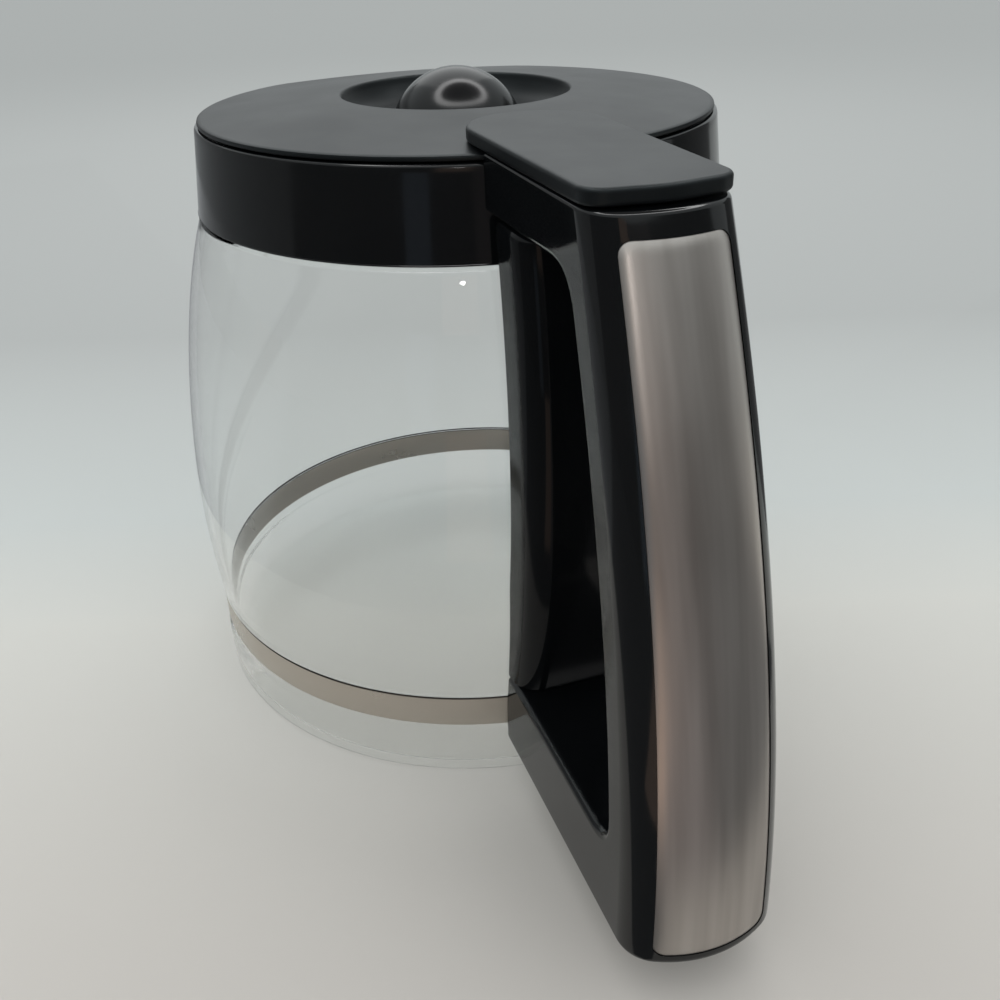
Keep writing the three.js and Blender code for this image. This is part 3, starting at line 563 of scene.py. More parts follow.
def place(tree, stretch=(1, 1, 1), turn=0.0, kind="Object"):
    """Where a spot lies, by default in the part's own frame in metres, stretched and turned about Z."""
    spot = tree.nodes.new("ShaderNodeTexCoord")
    values = {"Vector": spot.outputs[kind], "Scale": stretch, "Rotation": (0, 0, turn)}
    return new_node(tree, "Mapping", values).outputs["Vector"]


def axis_of(vector, axis):
    return new_node(vector.id_data, "SeparateXYZ", {"Vector": vector}).outputs[axis]


def noise(tree, scale, detail, stretch=(1, 1, 1)):
    """Cloudy grey in the part's own frame, with scale in features a metre."""
    values = {"Vector": place(tree, stretch), "Scale": scale, "Detail": detail}
    return new_node(tree, "TexNoise", values).outputs["Fac"]


def spread(socket, low, high, start=0.3, end=0.7):
    """A grey between two values made a number between two others."""
    values = {"Value": socket, "From Min": start, "From Max": end, "To Min": low, "To Max": high}
    return new_node(socket.id_data, "MapRange", values).outputs["Result"]


def tint(socket, dark, light):
    """A grey made a colour between two, each a plain colour or that of another node."""
    mix = new_node(socket.id_data, "Mix", {})
    mix.data_type = "RGBA"
    for name, colour in (("A", dark), ("B", light)):
        if isinstance(colour, tuple):
            mix.inputs[name].default_value = (*colour, 1)
        else:
            feed(mix, name, colour)
    feed(mix, "Factor", socket)
    return mix.outputs["Result"]


def bump(shader, height, distance):
    """Raises the surface by a grey, with its full height in millimetres."""
    values = {"Strength": 1.0, "Distance": distance * MM, "Height": height}
    feed(shader, "Normal", new_node(shader.id_data, "Bump", values).outputs["Normal"])


# Finishes


def clear_glass():
    """Clear glass, a trace green, with the slow waves of a blown wall. Its foot bends light less."""
    made, tree, shader = principled("clear_glass", (0.955, 0.958, 0.955), 0.0)
    shader.inputs["Transmission Weight"].default_value = 1
    height = axis_of(place(tree), "Z")
    feed(shader, "IOR", spread(height, FOOT_IOR, WALL_IOR, 0.01, 0.03))
    wall = tint(noise(tree, 20, 1.0), (0.95, 0.953, 0.95), (0.96, 0.963, 0.96))
    # Painted shade: the lowest few millimetres of glass, its floor, take a darker tint that stands in for
    # the shade on the floor seen through the base.
    clear_of_foot_shade = spread(height, 0, 1, 0.002, 0.004)
    feed(shader, "Base Color", tint(clear_of_foot_shade, (0.945, 0.948, 0.94), wall))
    bump(shader, noise(tree, 28, 1.0, (1, 1, 0.4)), 0.002)
    return made


def gloss_black(name, specular, flow, haze=0.11):
    """Moulded black plastic with a polished face, faint flow marks and wiping haze."""
    made, tree, shader = principled(name, (0.003, 0.0035, 0.004), haze)
    shader.inputs["Specular IOR Level"].default_value = specular
    feed(shader, "Roughness", spread(noise(tree, 45, 5.0), haze - 0.05, haze + 0.05))
    shade = tint(noise(tree, 60, 4.0), (0.002, 0.0025, 0.003), (0.004, 0.0045, 0.005))
    feed(shader, "Base Color", shade)
    bump(shader, noise(tree, 90, 2.0, (1, 1, 2.5)), flow)
    return made


def satin_black():
    """Fine-grained black plastic of the lid and the thumb plate, duller down in the drip recess."""
    made, tree, shader = principled("satin_black", (0.004, 0.005, 0.0055), 0.4)
    # Painted reflection: the specular tint gives the sheen a cool cast, standing in for the cool light that
    # the lid mirrors.
    shader.inputs["Specular Tint"].default_value = (0.85, 0.97, 1.0, 1)
    feed(shader, "Roughness", spread(noise(tree, 35, 5.0), 0.36, 0.44))
    shade = tint(noise(tree, 25, 4.0), (0.003, 0.0036, 0.0042), (0.0055, 0.0065, 0.0075))
    feed(shader, "Base Color", shade)
    away = new_node(tree, "VectorMath", {0: place(tree, (1, 1, 0))})
    away.operation = "LENGTH"
    rim = (RECESS_RADIUS - 0.6) * MM
    gloss = spread(away.outputs["Value"], RECESS_GLOSS, LID_GLOSS, rim, rim + 0.8 * MM)
    feed(shader, "Specular IOR Level", gloss)
    bump(shader, noise(tree, 2600, 2.0), 0.015)
    return made


def brushed_steel():
    """Grip inlay: soft streaks along the grip under a faint grain across it."""
    made, tree, shader = principled("brushed_steel", (0.46, 0.43, 0.4), 0.34, 1.0)
    feed(shader, "Roughness", spread(noise(tree, 22, 4.0), 0.3, 0.4))
    streak = spread(noise(tree, 260, 2.0, (0.1, 1, 0.05)), 0, 1)
    feed(shader, "Base Color", tint(streak, (0.4, 0.37, 0.345), (0.53, 0.5, 0.47)))
    bump(shader, noise(tree, 900, 2.0, (0.05, 0.02, 1.6)), 0.005)
    return made


def band_steel():
    """Rolled stainless strip with a faint warm, cloudy tint, and painted shade along its top edge where it
    meets the glass.
    """
    made, tree, shader = principled("band_steel", (0.5, 0.445, 0.38), 0.3, 1.0)
    strip = tint(noise(tree, 18, 3.0), (0.48, 0.43, 0.37), (0.55, 0.51, 0.46))
    height = axis_of(place(tree), "Z")
    # Painted shade: the top edge darkens to near black, standing in for the shadow in the gap between band
    # and glass.
    painted_gap_shade = spread(height, 0, 1, (BAND_TOP - 0.4) * MM, (BAND_TOP - 0.15) * MM)
    feed(shader, "Base Color", tint(painted_gap_shade, strip, (0.05, 0.045, 0.04)))
    feed(shader, "Roughness", spread(noise(tree, 60, 3.0), 0.26, 0.36))
    return made


def mottled(name, colour, roughness, metallic, scale, detail):
    """A plain finish whose roughness wanders by a tenth either way."""
    made, tree, shader = principled(name, colour, roughness, metallic)
    feed(shader, "Roughness", spread(noise(tree, scale, detail), roughness - 0.1, roughness + 0.1))
    return made


def pale_floor():
    """Paper floor, warm by the object, lightest at and just behind it as a painted pool of light, and
    darker and cooler further back as painted shade.
    """
    made, tree, shader = principled("pale_floor", (0.6, 0.6, 0.58), 0.9)
    shader.inputs["Specular IOR Level"].default_value = 0.1
    depth = axis_of(place(tree, turn=FLOOR_TURN), "X")
    near = tint(spread(depth, 0, 1, 0.0, 0.15), FLOOR_LIGHT_POOL, FLOOR_NEAR)
    back = tint(spread(depth, 1, 0, -0.06, 0.01), FLOOR_LIGHT_POOL, FLOOR_BACK)
    far = tint(spread(depth, 1, 0, -0.25, -0.06), FLOOR_BACK, FLOOR_FAR_SHADE)
    behind = tint(spread(depth, 0, 1, -0.07, -0.05), far, back)
    feed(shader, "Base Color", tint(spread(depth, 0, 1, 0.0, 0.01), behind, near))
    return made


GLASS = clear_glass()
COLLAR_BLACK = gloss_black("collar_black", 0.3, 0.02)
HANDLE_BLACK = gloss_black("handle_black", 0.38, 0.006)
GUARD_BLACK = gloss_black("guard_black", 0.16, 0.006)
DOME_BLACK = gloss_black("dome_black", 0.31, 0.004, 0.2)
LID_BLACK = satin_black()
INLAY_STEEL = brushed_steel()
BAND_STEEL = band_steel()
SCREW_STEEL = mottled("zinc_steel", (0.5, 0.5, 0.5), 0.35, 1.0, 400, 4.0)
GASKET = mottled("silicone", (0.05, 0.05, 0.05), 0.7, 0.0, 300, 3.0)


# Glass vessel


def glass_wall(grow):
    """The outer wall from above the band to the neck, grown by a clearance."""
    start = BAND_TOP + GROOVE_TOP_RISE + FIT_GAP
    low = bezier(
        (FOOT_RADIUS, start),
        (between(FOOT_RADIUS, BELLY_RADIUS, 0.35), between(start, BELLY_HEIGHT, 0.27)),
        (BELLY_RADIUS, between(start, BELLY_HEIGHT, 0.65)),
        (BELLY_RADIUS, BELLY_HEIGHT),
        CURVE_STEPS,
    )
    high = bezier(
        (BELLY_RADIUS, BELLY_HEIGHT),
        (BELLY_RADIUS, between(BELLY_HEIGHT, SHOULDER_HEIGHT, 0.315)),
        (between(SHOULDER_RADIUS, BELLY_RADIUS, 0.68), between(BELLY_HEIGHT, SHOULDER_HEIGHT, 0.718)),
        (SHOULDER_RADIUS, SHOULDER_HEIGHT),
        2 * CURVE_STEPS,
    )
    neck = bezier(
        (SHOULDER_RADIUS, SHOULDER_HEIGHT),
        (SHOULDER_RADIUS, SHOULDER_HEIGHT + NECK_RISE * 0.25),
        (NECK_RADIUS, SHOULDER_HEIGHT + NECK_RISE * 0.35),
        (NECK_RADIUS, SHOULDER_HEIGHT + NECK_RISE),
        CURVE_STEPS // 2,
    )
    return [(radius + grow, z) for radius, z in low + high[1:] + neck[1:]]


def band_groove():
    """The shallow groove in the outer wall that the band lies in, from below it to above it."""
    groove = FOOT_RADIUS - GROOVE_DEPTH
    low = BAND_BOTTOM - SLIDE_GAP
    high = BAND_TOP + FIT_GAP
    top = high + GROOVE_TOP_RISE
    foot = bezier(
        (FOOT_RADIUS, low - GROOVE_FOOT_RISE), (FOOT_RADIUS, low - GROOVE_FOOT_RISE * 0.4),
        (groove, low - GROOVE_FOOT_RISE * 0.6), (groove, low), BEND_STEPS)
    middle = (high + top) / 2
    head = bezier((groove, high), (groove, middle), (FOOT_RADIUS, middle), (FOOT_RADIUS, top), BEND_STEPS)
    return foot + head[:-1]


def floor_rings():
    """The inside floor from its middle outwards, with the faint steps that the mould leaves."""
    spots = [(0, GLASS_FLOOR + len(FLOOR_RINGS) * FLOOR_RING_STEP)]
    for i, radius in enumerate(FLOOR_RINGS):
        high = GLASS_FLOOR + (len(FLOOR_RINGS) - i) * FLOOR_RING_STEP
        low = high - FLOOR_RING_STEP
        near, far = radius - FLOOR_RING_SLOPE, radius + FLOOR_RING_SLOPE
        spots += bezier((near, high), (radius, high), (radius, low), (far, low), FINE_STEPS)
    return spots


def glass_vessel():
    inner = glass_wall(-GLASS_WALL)[::-1]
    inner_foot = FOOT_RADIUS - GLASS_WALL
    punt_edge = bezier(
        (PUNT_RADIUS - PUNT_SLOPE, PUNT_RISE), (PUNT_RADIUS, PUNT_RISE),
        (PUNT_RADIUS, 0), (PUNT_RADIUS + PUNT_SLOPE, 0), BEND_STEPS)
    lip = NECK_RADIUS - GLASS_WALL
    profile = [
        (0, PUNT_RISE),
        *punt_edge,
        *quarter(FOOT_RADIUS - HEEL_RADIUS, HEEL_RADIUS, HEEL_RADIUS, -1, 0),
        *band_groove(),
        *glass_wall(0),
        *quarter(NECK_RADIUS - RIM_ROUND, RIM_HEIGHT - RIM_ROUND, RIM_ROUND, 0, 1, 5),
        *quarter(lip + RIM_ROUND, RIM_HEIGHT - RIM_ROUND, RIM_ROUND, 1, 2, 5),
        *inner,
        *quarter(inner_foot - INNER_HEEL_RADIUS, GLASS_FLOOR + INNER_HEEL_RADIUS, INNER_HEEL_RADIUS, 0, -1),
        *floor_rings()[::-1],
    ]
    skin = turned("glass_jug", profile)
    skin.visible_shadow = False
    return dress(skin, "glass_vessel", "carafe", GLASS)


# Pour collar


def from_spout(angle):
    """How far a direction lies from the spout's, to either side."""
    return abs(atan2(sin(angle - pi), cos(angle - pi)))


def beak_radius(angle, tip, half_width):
    """How far a beak-shaped outline reaches from the axis in a direction, 0 beside it."""
    lateral = from_spout(angle)
    root = LEDGE_INNER
    if lateral > atan2(half_width, root):
        return 0
    pull = (8 * tip - 2 * root) / 6
    side = half_width * SPOUT_SHARPNESS
    curve = ((root, half_width), (pull, side), (pull, -side), (root, -half_width))

    def outside(t):
        x, y = curve_spot(curve, t)
        return atan2(y, x) > lateral

    return hypot(*curve_spot(curve, last_share(outside, 0.5)))


def spout_share(angle):
    """1 across the spout and 0 round the rest of the collar, with a soft change between."""
    share = (radians(SPOUT_HALF_ANGLE) - from_spout(angle)) / radians(SPOUT_SOFT_ANGLE)
    share = max(0, min(1, share))
    return share * share * (3 - 2 * share)


def collar_outer(z):
    """The outside of the collar at a height, spout included, as a function of the angle."""
    share = (z - COLLAR_BOTTOM) / (COLLAR_TOP - COLLAR_BOTTOM)
    plain = between(COLLAR_BOTTOM_RADIUS, COLLAR_TOP_RADIUS, share)
    top = COLLAR_TOP - SPOUT_DROP
    rise = max(0, min(1, (z - top + SPOUT_DEPTH) / SPOUT_DEPTH))
    swell = sin(pi / 2 * rise) ** 0.9
    tip = between(COLLAR_BOTTOM_RADIUS - COLLAR_WALL, SPOUT_TIP, swell)
    half_width = between(SPOUT_HALF_WIDTH * 0.6, SPOUT_HALF_WIDTH, swell)
    return lambda angle: smooth_most(plain, beak_radius(angle, tip, half_width), SPOUT_BLEND) - SPOUT_TRIM


def collar():
    edge = COLLAR_TOP_EDGE
    outer_top = collar_outer(COLLAR_TOP)
    trough_tip = SPOUT_TIP - SPOUT_WALL
    gutter = COLLAR_TOP_RADIUS - COLLAR_WALL

    def top_at(angle):
        return COLLAR_TOP - SPOUT_DROP * spout_share(angle)

    def inner(angle):
        reach = beak_radius(angle, trough_tip, SPOUT_HALF_WIDTH - SPOUT_WALL)
        return smooth_most(gutter, reach, TROUGH_BLEND)

    def inner_low(angle):
        reach = beak_radius(angle, trough_tip - SPOUT_WALL, SPOUT_HALF_WIDTH - 2 * SPOUT_WALL)
        return smooth_most(gutter, reach, TROUGH_BLEND)

    def floor_at(angle):
        return LEDGE_TOP + TROUGH_RISE * spout_share(angle)

    def outer_spot(share):
        def spot(angle):
            z = between(COLLAR_BOTTOM + COLLAR_EDGE, top_at(angle) - edge, share)
            return collar_outer(z)(angle), z
        return spot

    def over(turn):
        """The rounded top edge, from the outside over to the inside."""
        def spot(angle):
            outside = outer_top(angle)
            middle = (outside + inner(angle)) / 2
            half = (outside - inner(angle)) / 2
            return middle + half * cos(turn), top_at(angle) - edge + edge * sin(turn) ** 0.6
        return spot

    bore = NECK_RADIUS + HANDLE_GAP
    skirt = COLLAR_BOTTOM_RADIUS - COLLAR_EDGE - FIT_GAP
    profile = [
        *quarter(COLLAR_BOTTOM_RADIUS - COLLAR_EDGE, COLLAR_BOTTOM + COLLAR_EDGE, COLLAR_EDGE, -1, -0.1, 5),
        *[outer_spot(k / COLLAR_LEVELS) for k in range(COLLAR_LEVELS + 1)],
        *[over(pi * k / 10) for k in range(1, 10)],
        lambda angle: (inner(angle), top_at(angle) - edge),
        lambda angle: (inner_low(angle), floor_at(angle) + FINE_EDGE),
        lambda angle: (inner_low(angle) - FINE_EDGE, floor_at(angle)),
        (gutter - COLLAR_EDGE, LEDGE_TOP),
        (LEDGE_INNER + COLLAR_EDGE, LEDGE_TOP),
        (LEDGE_INNER, LEDGE_TOP - COLLAR_EDGE),
        (LEDGE_INNER, LEDGE_BOTTOM + FINE_EDGE),
        (LEDGE_INNER + FINE_EDGE, LEDGE_BOTTOM),
        (bore, LEDGE_BOTTOM),
        (bore, SHOULDER_HEIGHT + NECK_RISE + HANDLE_GAP),
        (skirt, COLLAR_BOTTOM),
    ]
    ring = turned("pour_collar", profile, spout_angles(156, 0.6))
    boss_outer = COLLAR_TOP_RADIUS - COLLAR_WALL / 2
    boss = block(
        "boss",
        (boss_outer - BOSS_DEPTH, -BOSS_HALF_WIDTH, LEDGE_TOP - 1),
        (sqrt(boss_outer ** 2 - BOSS_HALF_WIDTH ** 2), BOSS_HALF_WIDTH, LEDGE_TOP + BOSS_HEIGHT),
        COLLAR_EDGE,
    )
    combine(ring, [boss], "UNION")
    return dress(ring, "collar", "carafe", COLLAR_BLACK)


# Clamp band


def band():
    """One bent strip: in from an ear, round the glass and out along the other ear."""
    radius = BAND_OUTER - BAND_THICKNESS / 2
    ear_y = BAND_EAR_Y + BAND_THICKNESS / 2
    turn_y = ear_y + BAND_BEND
    turn_x = sqrt((radius + BAND_BEND) ** 2 - turn_y ** 2)
    meet = atan2(turn_y, turn_x)
    ear = [(BAND_EAR_END, ear_y), (turn_x + BAND_EAR_LEAD, ear_y)]
    ear += arc(turn_x, turn_y, BAND_BEND, -pi / 2, meet - pi, FINE_STEPS)
    hoop = arc(0, 0, radius, meet, 2 * pi - meet, BAND_STEPS)[1:-1]
    path = ear + hoop + [(x, -y) for x, y in ear[::-1]]
    half = BAND_THICKNESS / 2
    section = rounded_box((-half, BAND_BOTTOM), (half, BAND_TOP), BAND_EDGE, 3)
    rows = []
    for i, (x, y) in enumerate(path):
        before = Vector(path[max(0, i - 1)])
        after = Vector(path[min(len(path) - 1, i + 1)])
        along = (after - before).normalized()
        rows.append([(x + along.y * s, y - along.x * s, z) for s, z in section])
    strip = stacked("clamp_band", rows)
    return dress(strip, "band", "carafe", BAND_STEEL)


# Handle


def front_x(z):
    """The crown line of the grip's front at a height."""
    return reach_at(FRONT_LINE, z)


def grip_inner(z):
    return front_x(z) - GRIP_DEPTH


def half_width(z):
    return between(FOOT_HALF_WIDTH, TOP_HALF_WIDTH, (z - FOOT) / (ARM_TOP - FOOT))


def front_centres(z):
    """The middle of the crown arc at a height, and how far on and aside the corner arcs have theirs."""
    aside = half_width(z) - CORNER_RADIUS
    on = sqrt((CROWN_RADIUS - CORNER_RADIUS) ** 2 - aside ** 2)
    return front_x(z) - CROWN_RADIUS, on, aside


def front_arcs(z, inset):
    """The round corners and the crowned front at a height, drawn in by an inset."""
    crown_x, on, aside = front_centres(z)
    turn = atan2(aside, on)
    corner = arc(crown_x + on, -aside, CORNER_RADIUS - inset, -pi / 2, -turn, CORNER_STEPS)
    crown = arc(crown_x, 0, CROWN_RADIUS - inset, -turn, turn, CROWN_STEPS)[1:-1]
    return corner + crown + [(x, -y) for x, y in corner[::-1]]


def front_at(z, y, depth):
    """How far out the front is at a height and a place across it, at a depth below its face."""
    crown_x, on, aside = front_centres(z)
    crown = CROWN_RADIUS - depth
    corner = CORNER_RADIUS - depth
    if abs(y) <= crown * aside / (CROWN_RADIUS - CORNER_RADIUS):
        return crown_x + sqrt(crown ** 2 - y ** 2)
    return crown_x + on + sqrt(max(0, corner ** 2 - (abs(y) - aside) ** 2))


def grip_hull():
    """The handle without its opening: plan outlines stacked up, drawn in at the foot and the top."""
    rows = []
    for inset, z in rounded_levels(FOOT, ARM_TOP + ARM_CROWN, FOOT_ROUND, TOP_ROUND, HANDLE_LEVELS):
        half = half_width(z) - inset
        outline = [(HANDLE_BACK, -half), *front_arcs(z, inset), (HANDLE_BACK, half)]
        rows.append([(x, y, z) for x, y in outline])
    return stacked("handle_shell", rows)


def opening_outline():
    """The side view of the finger opening, from its lower back corner round."""
    low = LOWER_ARM_TOP + OPENING_ROUND
    high = ARM_BOTTOM - OPENING_ROUND
    levels = [between(low, high, k / OPENING_LEVELS) for k in range(OPENING_LEVELS + 1)]
    inner = [(grip_inner(z), z) for z in levels]
    low_corner = grip_inner(LOWER_ARM_TOP)
    high_corner = grip_inner(ARM_BOTTOM)
    back = HANDLE_BACK - 6
    return [
        (back, LOWER_ARM_TOP),
        *bend((low_corner - OPENING_ROUND, LOWER_ARM_TOP), (low_corner, LOWER_ARM_TOP), inner[0]),
        *inner[1:-1],
        *bend(inner[-1], (high_corner, ARM_BOTTOM), (high_corner - OPENING_ROUND, ARM_BOTTOM)),
        (back, ARM_BOTTOM),
    ]


def finger_opening():
    """The space for the fingers, flared at both sides so that its edges come out round."""
    outline = opening_outline()
    flare = []
    for k in range(BEND_STEPS + 1):
        angle = between(radians(OPENING_EDGE_END), pi / 2, k / BEND_STEPS)
        flare.append((OPENING_EDGE * (1 - sin(angle)), OPENING_EDGE * (1 - cos(angle))))
    past = FIT_GAP + flare[0][1]
    flare.insert(0, (flare[0][0] + past / tan(radians(OPENING_EDGE_END)), -FIT_GAP))

    def row(offset, depth, side):
        spots = drawn_in(outline, -offset)
        return [(x, side * (half_width(z) - depth), z) for x, z in spots]

    rows = [row(offset, depth, -1) for offset, depth in flare]
    rows += [row(offset, depth, 1) for offset, depth in flare[::-1]]
    return stacked("finger_opening", rows)


def vessel_room():
    """The space that the glass, the band and the collar keep clear of the handle."""
    band = BAND_OUTER + HANDLE_GAP
    foot = FOOT_RADIUS + HANDLE_GAP
    wall = [(radius, z) for radius, z in glass_wall(HANDLE_GAP) if BAND_TOP + 1 < z < COLLAR_BOTTOM - 1]
    profile = [
        (0, -OVERCUT),
        (foot, -OVERCUT),
        (foot, BAND_BOTTOM - SLIDE_GAP),
        (band, BAND_BOTTOM - SLIDE_GAP),
        (band, BAND_TOP + SLIDE_GAP),
        *wall,
        (COLLAR_BOTTOM_RADIUS + FIT_GAP, COLLAR_BOTTOM - FIT_GAP),
        (COLLAR_TOP_RADIUS + FIT_GAP, COLLAR_TOP - 1),
        (COLLAR_TOP_RADIUS + FIT_GAP, ARM_TOP + OVERCUT),
        (0, ARM_TOP + OVERCUT),
    ]
    return turned("vessel_room", profile)


def front_sheet(name, grow, near, far, roll):
    """The inlay's round-cornered shape on the grip's front between two depths, its rim rolled back."""
    low, high = INLAY_LOW.z - grow, INLAY_HIGH.z + INLAY_RISE + grow
    corner = INLAY_CORNER + grow

    def straight(z):
        return grow + between(INLAY_BOTTOM_HALF_WIDTH, INLAY_TOP_HALF_WIDTH, (z - low) / (high - low))

    def half_at(z):
        short = max(0, corner - min(z - low, high - z))
        return straight(z) - corner + sqrt(max(0, corner ** 2 - short ** 2))

    def from_rim(y, z):
        side = straight(z) - abs(y)
        end = min(z - low, high - z)
        if side < corner and end < corner:
            return corner - hypot(corner - side, corner - end)
        return min(side, end)

    def face(y, z):
        share = max(0, 1 - from_rim(y, z) / INLAY_ROLL_WIDTH)
        return front_at(z, y, near + roll * share * share)

    rounds = []
    for k in range(INLAY_ROWS + 1):
        z = between(low, high, (1 - cos(pi * k / INLAY_ROWS)) / 2)
        across = [half_at(z) * sin(pi * (j / INLAY_COLUMNS - 0.5)) for j in range(INLAY_COLUMNS + 1)]
        outer = [(face(y, z), y, z) for y in across]
        inner = [(front_at(z, y, far), y, z) for y in across[::-1]]
        rounds.append(outer + inner)
    return stacked(name, rounds)


def grip_strip(name, near, far, low, high, half):
    """A strip that follows the inside of the grip between two depths."""
    rows = []
    for k in range(LINER_LEVELS + 1):
        z = between(low, high, k / LINER_LEVELS)
        x = grip_inner(z)
        outline = rounded_box((x + near, -half), (x + far, half), LINER_EDGE, 3)
        rows.append([(px, py, z) for px, py in outline])
    return stacked(name, rows)


def tenon(name, grow):
    """The guard's tenon in the lower arm, or the slot for it."""
    end = GUARD_FOOT_X - FIT_GAP
    return block(
        name, (end - TENON_LENGTH - grow, -TENON_HALF_WIDTH - grow, LOWER_ARM_TOP - TENON_DEPTH - grow),
        (end + grow, TENON_HALF_WIDTH + grow, LOWER_ARM_TOP + TENON_RISE), FINE_EDGE)


def handle_frame():
    shell = grip_hull()
    channel = block(
        "channel", (CHANNEL_START, -CHANNEL_HALF_WIDTH, CHANNEL_FLOOR),
        (CHANNEL_END, CHANNEL_HALF_WIDTH, ARM_TOP + OVERCUT), ROOM_EDGE)
    hollow = block(
        "hollow", (COVER_LOW.x - FIT_GAP, COVER_LOW.y - FIT_GAP, FOOT - OVERCUT),
        (COVER_HIGH.x + FIT_GAP, COVER_HIGH.y + FIT_GAP, HOLLOW_TOP), ROOM_EDGE)
    pocket = front_sheet("pocket", INLAY_SEAM, -POCKET_PROUD, INLAY_POCKET, 0)
    liner_pocket = grip_strip(
        "liner_pocket", -POCKET_PROUD, LINER_POCKET, LINER_LOW.z - FIT_GAP, LINER_HIGH.z + FIT_GAP,
        LINER_HALF_WIDTH)
    rooms = [finger_opening(), vessel_room(), channel, hollow, pocket, liner_pocket, tenon("slot", FIT_GAP)]
    combine(shell, rooms, "DIFFERENCE")
    return dress(shell, "handle_frame", "carafe", HANDLE_BLACK, flat_first=True)


def grip_inlay():
    sheet = front_sheet("grip_plate", 0, 0, INLAY_THICKNESS, INLAY_ROLL_DROP)
    return dress(sheet, "grip_inlay", "carafe", INLAY_STEEL)


def grip_liner():
    half = LINER_HALF_WIDTH - FIT_GAP
    strip = grip_strip("grip_backing", 0, LINER_THICKNESS, LINER_LOW.z, LINER_HIGH.z, half)
    return dress(strip, "grip_liner", "carafe", HANDLE_BLACK, flat_first=True)


def guard_section(z, inset, past, edge, back_edge):
    """The guard's plan at a height, drawn in by an inset, its back moved past the guard's by a length."""
    half = half_width(z) - inset
    face = reach_at(GUARD_LINE, z)
    back = face - GUARD_DEPTH - past
    outline = rounded_box((back, -half), (face - inset, half), edge, FINE_STEPS, back_edge)
    return [(x, y, z) for x, y in outline]


def knuckle_guard():
    levels = rounded_levels(GUARD_BOTTOM, GUARD_TOP, FIT_GAP, GUARD_END_ROUND, GUARD_LEVELS)
    shell = stacked(
        "finger_guard",
        [guard_section(z, inset, 0, GUARD_ROUND, GUARD_BACK_ROUND) for inset, z in levels])
    inside = rounded_levels(
        GUARD_BOTTOM + GUARD_WALL, GUARD_TOP - GUARD_WALL, FIT_GAP, FIT_GAP, GUARD_LEVELS // 2)
    edges = (GUARD_ROUND - GUARD_WALL, GUARD_ROOM_BACK_ROUND)
    room = stacked(
        "guard_room",
        [guard_section(z, GUARD_WALL + inset, GUARD_ROOM_PAST, *edges) for inset, z in inside])
    combine(shell, [room], "DIFFERENCE")
    boss_low, boss_high = GUARD_TOP - GUARD_BOSS_HEIGHT, GUARD_TOP - FIT_GAP
    boss = post("guard_boss", GUARD_SCREW_X, 0, boss_low, boss_high, GUARD_BOSS_RADIUS)
    combine(shell, [boss, tenon("guard_tenon", 0)], "UNION")
    combine(shell, [vessel_room()], "DIFFERENCE")
    return dress(shell, "knuckle_guard", "carafe", GUARD_BLACK, flat_first=True)


# Lid


def lid_top_at(radius):
    return LID_RIM_TOP + LID_CROWN * (LID_RADIUS - radius) / (LID_RADIUS - RECESS_RADIUS)


def lid_reach(angle):
    """The lid's outer radius in a direction, shortened by the straight cut at the spout."""
    lateral = cos(angle - pi)
    if lateral < 0.3:
        return LID_RADIUS
    cut = smooth_least(LID_RADIUS, LID_CHORD / lateral, LID_CHORD_BLEND)
    return min(LID_RADIUS, cut + LID_CHORD_TRIM)


def lid_sheet():
    """The coned sheet with its lip, its drip recess and the drain in the middle."""
    def rim(inset, z):
        return lambda angle: (lid_reach(angle) - inset, z)

    def rim_top(inset, drop):
        return lambda angle: (lid_reach(angle) - inset, lid_top_at(lid_reach(angle) - inset) - drop)

    def cone(share, drop, inner):
        def spot(angle):
            radius = between(lid_reach(angle) - 3 * LID_EDGE, inner, share)
            return radius, lid_top_at(radius) - drop
        return spot

    drain_z = LID_RIM_TOP + LID_CROWN - RECESS_DEPTH
    shoulder = RECESS_RADIUS + RECESS_LIP
    lip = bezier(
        (shoulder, lid_top_at(shoulder)), (RECESS_RADIUS, lid_top_at(RECESS_RADIUS)),
        (RECESS_RADIUS - 0.2, lid_top_at(RECESS_RADIUS) - 0.3),
        (RECESS_RADIUS - 0.5, lid_top_at(RECESS_RADIUS) - 1.2), FINE_STEPS)
    bowl = bezier(
        lip[-1], (RECESS_RADIUS - 2.6, drain_z + 1.2), (RECESS_RADIUS - 5, drain_z),
        (DRAIN_RADIUS + DRAIN_EDGE, drain_z), 16)
    under = [(radius + 1, z - LID_SHEET) for radius, z in (bowl + lip[:1])[::-1]]
    profile = [
        rim(LID_EDGE, LID_LIP_BOTTOM),
        rim(LID_EDGE * 0.3, LID_LIP_BOTTOM + LID_EDGE * 0.3),
        rim(0, LID_LIP_BOTTOM + LID_EDGE),
        rim(0, LID_RIM_TOP - LID_EDGE),
        rim_top(LID_EDGE * 0.3, LID_EDGE * 0.3),
        rim_top(LID_EDGE, 0),
        rim_top(3 * LID_EDGE, 0),
        *[cone(k / 6, 0, shoulder) for k in range(1, 6)],
        *lip, *bowl[1:],
        (DRAIN_RADIUS, drain_z - DRAIN_EDGE),
        (DRAIN_RADIUS, drain_z - LID_SHEET),
        *under[::-1],
        *[cone(1 - k / 6, LID_SHEET, shoulder + 1) for k in range(1, 6)],
        rim(3 * LID_EDGE, LID_LIP_BOTTOM),
    ]
    return turned("lid_cover", profile, spout_angles(132, 0.8))


